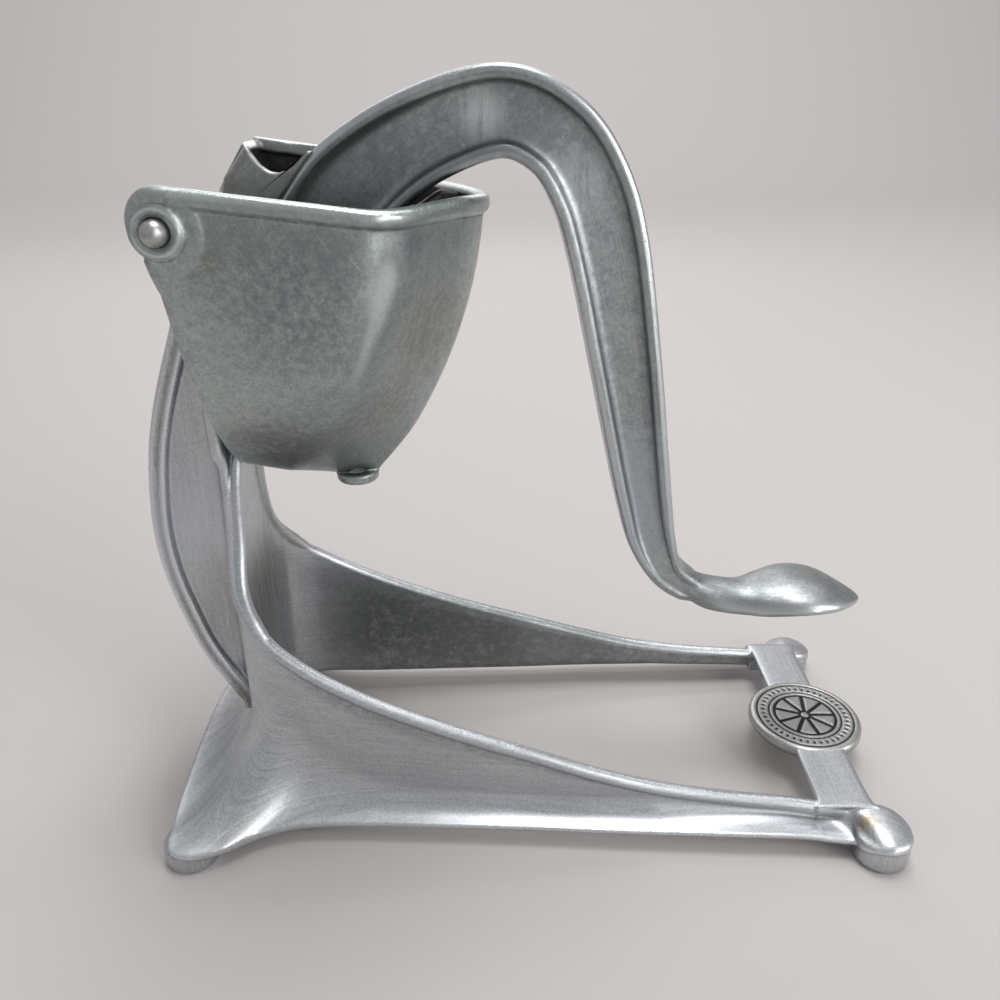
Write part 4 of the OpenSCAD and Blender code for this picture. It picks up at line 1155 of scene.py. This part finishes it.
@dataclass
class PressingHead:
    """Ribbed head inside the cup, its lugs on the pin and the socket of the lever.

    The outlines of the socket's cheeks, of the rim strip and of its back are loops of (x, z), and
    the faces of a plate are its two places in y.
    """

    scoop: Scoop = field(default_factory=Scoop)
    reach: float = 62.0
    half_w: float = 32.0
    depth: float = 44.0
    wall: float = 2.6
    clearance: float = 3.6
    ribs: int = 18
    rib_depth: float = 1.6
    top: float = 3.0
    front_rise: float = 7.5
    rows: int = 30
    lug_r: float = 5.6
    lug_faces: tuple[float, float] = (23.1, 34.1)
    near_faces: tuple[float, float] = (-7.0, -4.8)
    far_faces: tuple[float, float] = (7.0, 9.2)
    strip_faces: tuple[float, float] = (5.2, 9.1)
    back_faces: tuple[float, float] = (-6.6, 8.6)
    near_cheek: tuple = (
        (7.0, -10), (3.2, 0), (4.6, 8.4), (9.8, 16.4), (11.2, 14.4), (13.2, 12.3), (15.4, 11.0),
        (17.8, 10.9), (20.0, 11.9), (22.2, 13.7), (24.6, 16.6), (25.6, 16.8), (22.2, 11.2),
        (17.2, 3.4), (8.8, -9.6))
    far_cheek: tuple = (
        (34, 4), (30, -42), (14, -42), (3.2, 0), (4.6, 8.4), (8.6, 17.4), (16, 17.3), (24, 17.2))
    rim_strip: tuple = (
        (8.6, 17.4), (16, 17.35), (26, 17.2), (26.4, 14.2), (16, 14.2), (9.0, 14.6))
    socket_back: tuple = ((3.2, -3), (4.6, 8.4), (9.2, 16.9), (11.0, 15.6), (6.4, 8), (5.2, -3))

    def angles(self) -> Array:
        """Angles round the head, 16 for each rib, in radians."""
        return np.linspace(0, 2 * np.pi, 16 * self.ribs + 1)[:-1]

    def rings(self, z: Array, inset: Array, deep: Array, rise: Array) -> Array:
        """Rings of the head; grooves between the ribs are 0.5 d (1 - cos(ribs a)) deep.

        Args:
            z: heights from the pin.
            inset: how far the rings are moved in.
            deep: depth d of the grooves.
            rise: share of the front edge's lift.

        Returns:
            rings x angles x 3 points.
        """
        angles = self.angles()
        w = self.half_w * np.sqrt(1 - (np.minimum(0, z - 4) / self.scoop.depth) ** 2)
        rear = self.scoop.back_x(z) + self.scoop.wall + self.clearance
        front = np.sqrt(self.reach**2 - z**2)
        base = self.scoop.ring(rear + inset, front - 1.1 * inset, w - inset, 0.46 * w + 4, angles)
        middle = stacked((rear + front) / 2, 0.0)[:, None]
        groove = deep[:, None] * (1 - np.cos(self.ribs * angles)) / 2
        base = base - groove[..., None] * unit(base - middle)
        lift = rise[:, None] * self.front_rise * ease((base[..., 0] - 47) / 12)
        return stacked(base[..., 0] - 0.12 * lift, base[..., 1], z[:, None] + lift)

    def shell(self) -> Skin:
        """Hollow head, closed below: up the ribbed outside, over the edge, down the inside."""
        n = self.rows
        k = np.linspace(0, 1, n)
        z = -self.depth + k * (self.depth + self.top)
        rise = ease((k - 6 / 7) * 7)
        outer = self.rings(z, 3 * (1 - ease(k * 9)) ** 2, self.rib_depth * ease(k * 6), rise)
        thick = self.wall + self.rib_depth / 2
        inside = slice(None, 3, -1)
        inner = self.rings(z[inside], 0 * z[inside] + thick, 0 * z[inside], rise[inside])
        zero = np.zeros(1)
        floor = self.rings(zero - self.depth + self.wall, zero + thick + 2.0, zero, zero)
        p = np.concatenate([outer, inner, floor])
        # Wear and painted highlight on the ribs' crests; deposit and painted shade in the grooves
        # between them; painted shade over the whole inside of the head.
        ridge = (1 + np.cos(self.ribs * self.angles())) / 2
        edge, hollow = np.zeros((2, *p.shape[:2]))
        edge[:n] = 0.45 * ridge**3
        hollow[:n] = 0.3 + 0.5 * (1 - ridge) ** 3
        hollow[n - 4:] = 0.95
        return Skin.grid(p, edge, hollow)

    def skin(self) -> Skin:
        """Head, lugs, and the socket with one wavy and one straight cheek."""
        lug = puck(circle(60) * self.lug_r, *self.lug_faces, 0.7)
        near = puck(dense(self.near_cheek), *self.near_faces, 0.45)
        far = puck(dense(self.far_cheek), *self.far_faces, 0.8)
        strip = puck(dense(self.rim_strip), *self.strip_faces, 0.7)
        back = puck(dense(self.socket_back), *self.back_faces, 0.5)
        # Painted shade: the socket's back darkens below 7.5 mm and the inner faces of both cheeks
        # are dark.
        back.hollow = 0.5 * ease((7.5 - back.points[:, 2]) / 4)
        for cheek, inner in ((near, self.near_faces[1]), (far, self.far_faces[0])):
            cheek.hollow = 0.85 * hump(cheek.points[:, 1], inner, 0.4)
        parts = [self.shell(), *both(lug), near, far, strip, back]
        return join([s.moved(PIN, TILT) for s in parts])


# ---- Lever ----


@dataclass
class Lever:
    """Curved arm of I-section with a thumb pad.

    rows holds x, z and the height of the section along the arm. pad_rows holds x, the half width,
    and the heights of the rim, the crown and the underside along the pad.
    """

    rows: tuple = (
        (16, -18.8, 23), (26.5, -6, 24.5), (36.5, 5.6, 25), (52.7, 16.4, 22.5), (72.3, 22.4, 21.2),
        (86.1, 17.2, 20.6), (94.8, 5.6, 21), (100.4, -11, 21), (106.7, -41, 19.3),
        (111.3, -65, 17.4), (114.3, -80, 16), (117.5, -93.2, 14), (123, -104.8, 10.2),
        (131.6, -111.6, 8.8), (139.5, -113.4, 8.8))
    pad_rows: tuple = (
        (125.0, 3.4, -108.6, -104.6, -111.4), (130.5, 4.5, -112.4, -106.4, -115.2),
        (135.5, 5.4, -115.0, -108.4, -117.8), (141.5, 6.4, -116, -109.4, -118.8),
        (147.5, 8.2, -115.8, -110.0, -118.4), (153.5, 11, -114.9, -108.7, -117.2),
        (160.5, 13.2, -113.4, -107.4, -115.6), (167.5, 13.4, -112.8, -107.8, -114.9),
        (173.5, 11.4, -113.2, -109.4, -115.2), (179, 7.2, -114.1, -112.2, -115.9),
        (182.5, 3.4, -114.9, -114, -116.6), (183.7, 1.4, -115.3, -114.9, -116.5))
    flange_half: float = 6.5
    flange_t: float = 3.6
    web_half: float = 2.3
    edge_r: float = 1.5

    def arm(self) -> Skin:
        """Sweep of the I-section along the arm's middle line.

        Half the section runs from the crown of the outer flange round its edge, through a fillet to
        the web, and on to the inner flange. The web rises to the flanges' edges at the lower bend,
        and the section shrinks where it enters the pad.
        """
        line = spline(self.rows, 14)
        x, z = line[:, :1], line[:, 1:2]
        n = sideways(line[:, :2])[:, None]
        shrink = ease((x - 129.0) / 9.0)
        flush = ease((x - 113.5) / 9.0) * ease((-60 - z) / 20)
        f = self.flange_half - 2.0 * ease((x - 118) / 16) - 2.4 * shrink
        h = line[:, 2:] / 2 - 2.6 * shrink
        web = self.web_half + (f - 2.9) * flush
        t = self.flange_t - 0.9 * flush
        fillet = np.minimum(2.4, 0.42 * np.maximum(0.2, h - t) + 0.1) * (1 - 0.75 * flush)
        soft = np.minimum(1.0, f - web - 0.1)
        r, quarter = self.edge_r, turn(0, 90, 8)

        section = Section(len(line))
        section.add(0.0, h, 0.35)
        section.add(3.0, h - 0.05, 0.35)
        section.add(f - r + r * quarter[::-1, 0], h - 0.2 - r + r * quarter[::-1, 1], 1.0)
        section.add(f - [0.0, 0.1], h - np.minimum(2.2, t * 0.6) - [0.0, 0.3], 0.25)
        section.add(f - 0.1 - soft + soft * quarter[:, 0],
                    h - t + soft - soft * quarter[:, 1] * 0.98, 0.5)
        section.add(web + fillet - fillet * quarter[:, 1],
                    h - t - fillet * (1 - quarter[:, 0]), 0.0, 0.22)
        section.add(web, (h - t - fillet) * 0.5)
        section.add(web, 0.0)
        section.reflect((1, -1), close=False)
        section.reflect((-1, 1), close=True)
        loop, marks = section.whole()
        xz = line[:, None, :2] + loop[..., 1:] * n
        return Skin.grid(stacked(xz[..., 0], loop[..., 0], xz[..., 1]),
                         marks[:, 0] * (1 - 0.5 * flush), marks[:, 1] * (1 - 0.85 * flush))

    def pad(self) -> Skin:
        """Thumb pad: rings across X, each a half ellipse above and a flatter one below.

        Near the arm the upper one is boxier.
        """
        x, half, rim, crown, under = spline(self.pad_rows, 9).T[..., None]
        up, down = turn(0, 180, 33), turn(160, 20, 23)
        box = 0.62 + 0.38 * ease((x - 131) / 15)
        y = np.hstack([half * np.sign(up[:, 0]) * np.abs(up[:, 0]) ** box,
                       (half - 0.8) * down[:, 0]])
        z = np.hstack([rim + (crown - rim) * np.maximum(0, up[:, 1]) ** box,
                       rim - 1.6 + (under - rim + 1.6) * down[:, 1]])
        edge = hump(np.abs(np.concatenate([up[:, 0], down[:, 0]])), 1.0, 0.10)
        return Skin.grid(stacked(x, y, z), (0.15 + 0.7 * edge) * ease((x - 130) / 14))

    def skin(self) -> Skin:
        """Arm and pad in place."""
        return join([self.arm(), self.pad()]).moved(PIN)


# ---- Studio ----


@dataclass(frozen=True)
class Lamp:
    """A soft area lamp, in metres.

    Attributes:
        name: its name.
        spot: where it hangs.
        aim: the point that it faces.
        size: its width and height.
        watts: its power.
        tint: its colour.
    """

    name: str
    spot: Point
    aim: Point
    size: tuple[float, float]
    watts: float
    tint: Colour = (1.0, 1.0, 1.0)

    def hang(self) -> None:
        """Hangs the lamp, turned to its aim; the camera doesn't see it."""
        data = bpy.data.lights.new(self.name, "AREA")
        data.shape, data.energy, data.color = "RECTANGLE", self.watts, self.tint
        data.size, data.size_y = self.size
        lamp = bpy.data.objects.new(self.name, data)
        lamp.visible_camera = False
        bpy.context.scene.collection.objects.link(lamp)
        back = unit(np.array(self.spot, float) - np.array(self.aim, float))
        right = unit(np.cross([0.0, 0.0, 1.0], back))
        axes = np.stack([right, np.cross(back, right), back], axis=1).tolist()
        rows = [[*row, place] for row, place in zip(axes, self.spot)]
        lamp.matrix_world = Matrix([*rows, [0, 0, 0, 1]])


@dataclass
class Studio:
    """Floor, lamps and camera, in metres."""

    floor_colour: Colour = (0.47, 0.445, 0.437)
    floor_half: float = 3.5
    sky: Colour = (0.80, 0.81, 0.83)
    sky_strength: float = 0.56
    camera_spot: Point = (-0.0097, -0.2285, 0.2027)
    camera_tilt: float = 64.33
    lens: float = 30.96
    lamps: tuple[Lamp, ...] = (
        Lamp("overhead", (0.1, 0.1, 1.2), (0, 0, 0.08), (0.55, 0.4), 7.8),
        Lamp("window", (0.95, -0.75, 0.75), (0, 0, 0.1), (0.4, 0.7), 5.2, (1.0, 0.99, 0.97)),
        Lamp("side", (0.85, -0.3, 0.28), (-0.05, 0, 0.12), (0.25, 0.3), 1.2),
        Lamp("front", (0.52, -0.78, 0.14), (-0.03, -0.03, 0.13), (0.10, 0.45), 1.3),
        Lamp("rear", (-0.2, 0.95, 0.62), (-0.03, 0, 0.15), (1.0, 0.35), 1.8),
        Lamp("backdrop", (0.0, 1.2, 1.9), (0.0, 2.4, 0.6), (3.0, 1.0), 36.0))

    def floor(self) -> None:
        """A level floor that curves up into a backdrop: a profile of (y, z) drawn out along X."""
        curve = np.array([1.6, 0.9]) + 0.9 * turn(-90, 0, 24)
        run = np.vstack([[(-2.5, 0.0)], curve, [(2.5, 3.2)]])
        x = np.array([-self.floor_half, self.floor_half])[:, None]
        p = stacked(x, run[:, 0], run[:, 1]).reshape(-1, 3)
        n = len(run)
        i = np.arange(n - 1)
        mesh = bpy.data.meshes.new("floor")
        mesh.from_pydata(p.tolist(), [], stacked(i, i + n, i + n + 1, i + 1).tolist())
        mesh.shade_smooth()
        paint = Bench("floor").surface(Base_Color=(*self.floor_colour, 1.0), Roughness=0.9)
        mesh.materials.append(paint)
        floor = bpy.data.objects.new("floor", mesh)
        bpy.context.scene.collection.objects.link(floor)

    def camera(self) -> None:
        """The camera that took the photo, solved from the object's own points."""
        data = bpy.data.cameras.new("camera")
        data.lens, data.sensor_width = self.lens, 36.0
        camera = bpy.data.objects.new("camera", data)
        camera.location = self.camera_spot
        camera.rotation_euler = (np.radians(self.camera_tilt), 0.0, 0.0)
        bpy.context.scene.collection.objects.link(camera)
        bpy.context.scene.camera = camera

    def build(self) -> None:
        """Sets the stage, the world's plain light, the lamps and the camera."""
        self.floor()
        scene = bpy.context.scene
        scene.view_settings.view_transform = "Standard"
        world = bpy.data.worlds.new("plain")
        world.use_nodes = True
        sky = world.node_tree.nodes["Background"]
        sky.inputs["Color"].default_value = (*self.sky, 1.0)
        sky.inputs["Strength"].default_value = self.sky_strength
        scene.world = world
        for lamp in self.lamps:
            lamp.hang()
        self.camera()


def main() -> None:
    """Builds every piece in order."""
    logging.basicConfig(level=logging.INFO, format="%(name)s: %(message)s")
    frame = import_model()
    make(Stand().skin(), "stand_casting", STAND_FINISH, "base", "stand")
    make(Medallion().skin(), "medallion", MEDALLION_FINISH, "base", "stand")
    make(JuiceCup().skin(), "cup_casting", CUP_FINISH, "base", "juice_cup")
    make(PressingHead().skin(), "pressing_head", HEAD_FINISH, "lever", "presser")
    make(Lever().skin(), "lever_casting", LEVER_FINISH, "lever", "lever_arm")
    for name in ("hinge_pin", "cup_rivets", "lever_rivets", "strainer"):
        slots = frame["nodes"][name].data.materials
        slots.clear()
        slots.append(TURNED_FINISH.material())
        log.info("%s: CAD piece dressed", name)
    Studio().build()


if __name__ == "__main__":
    main()
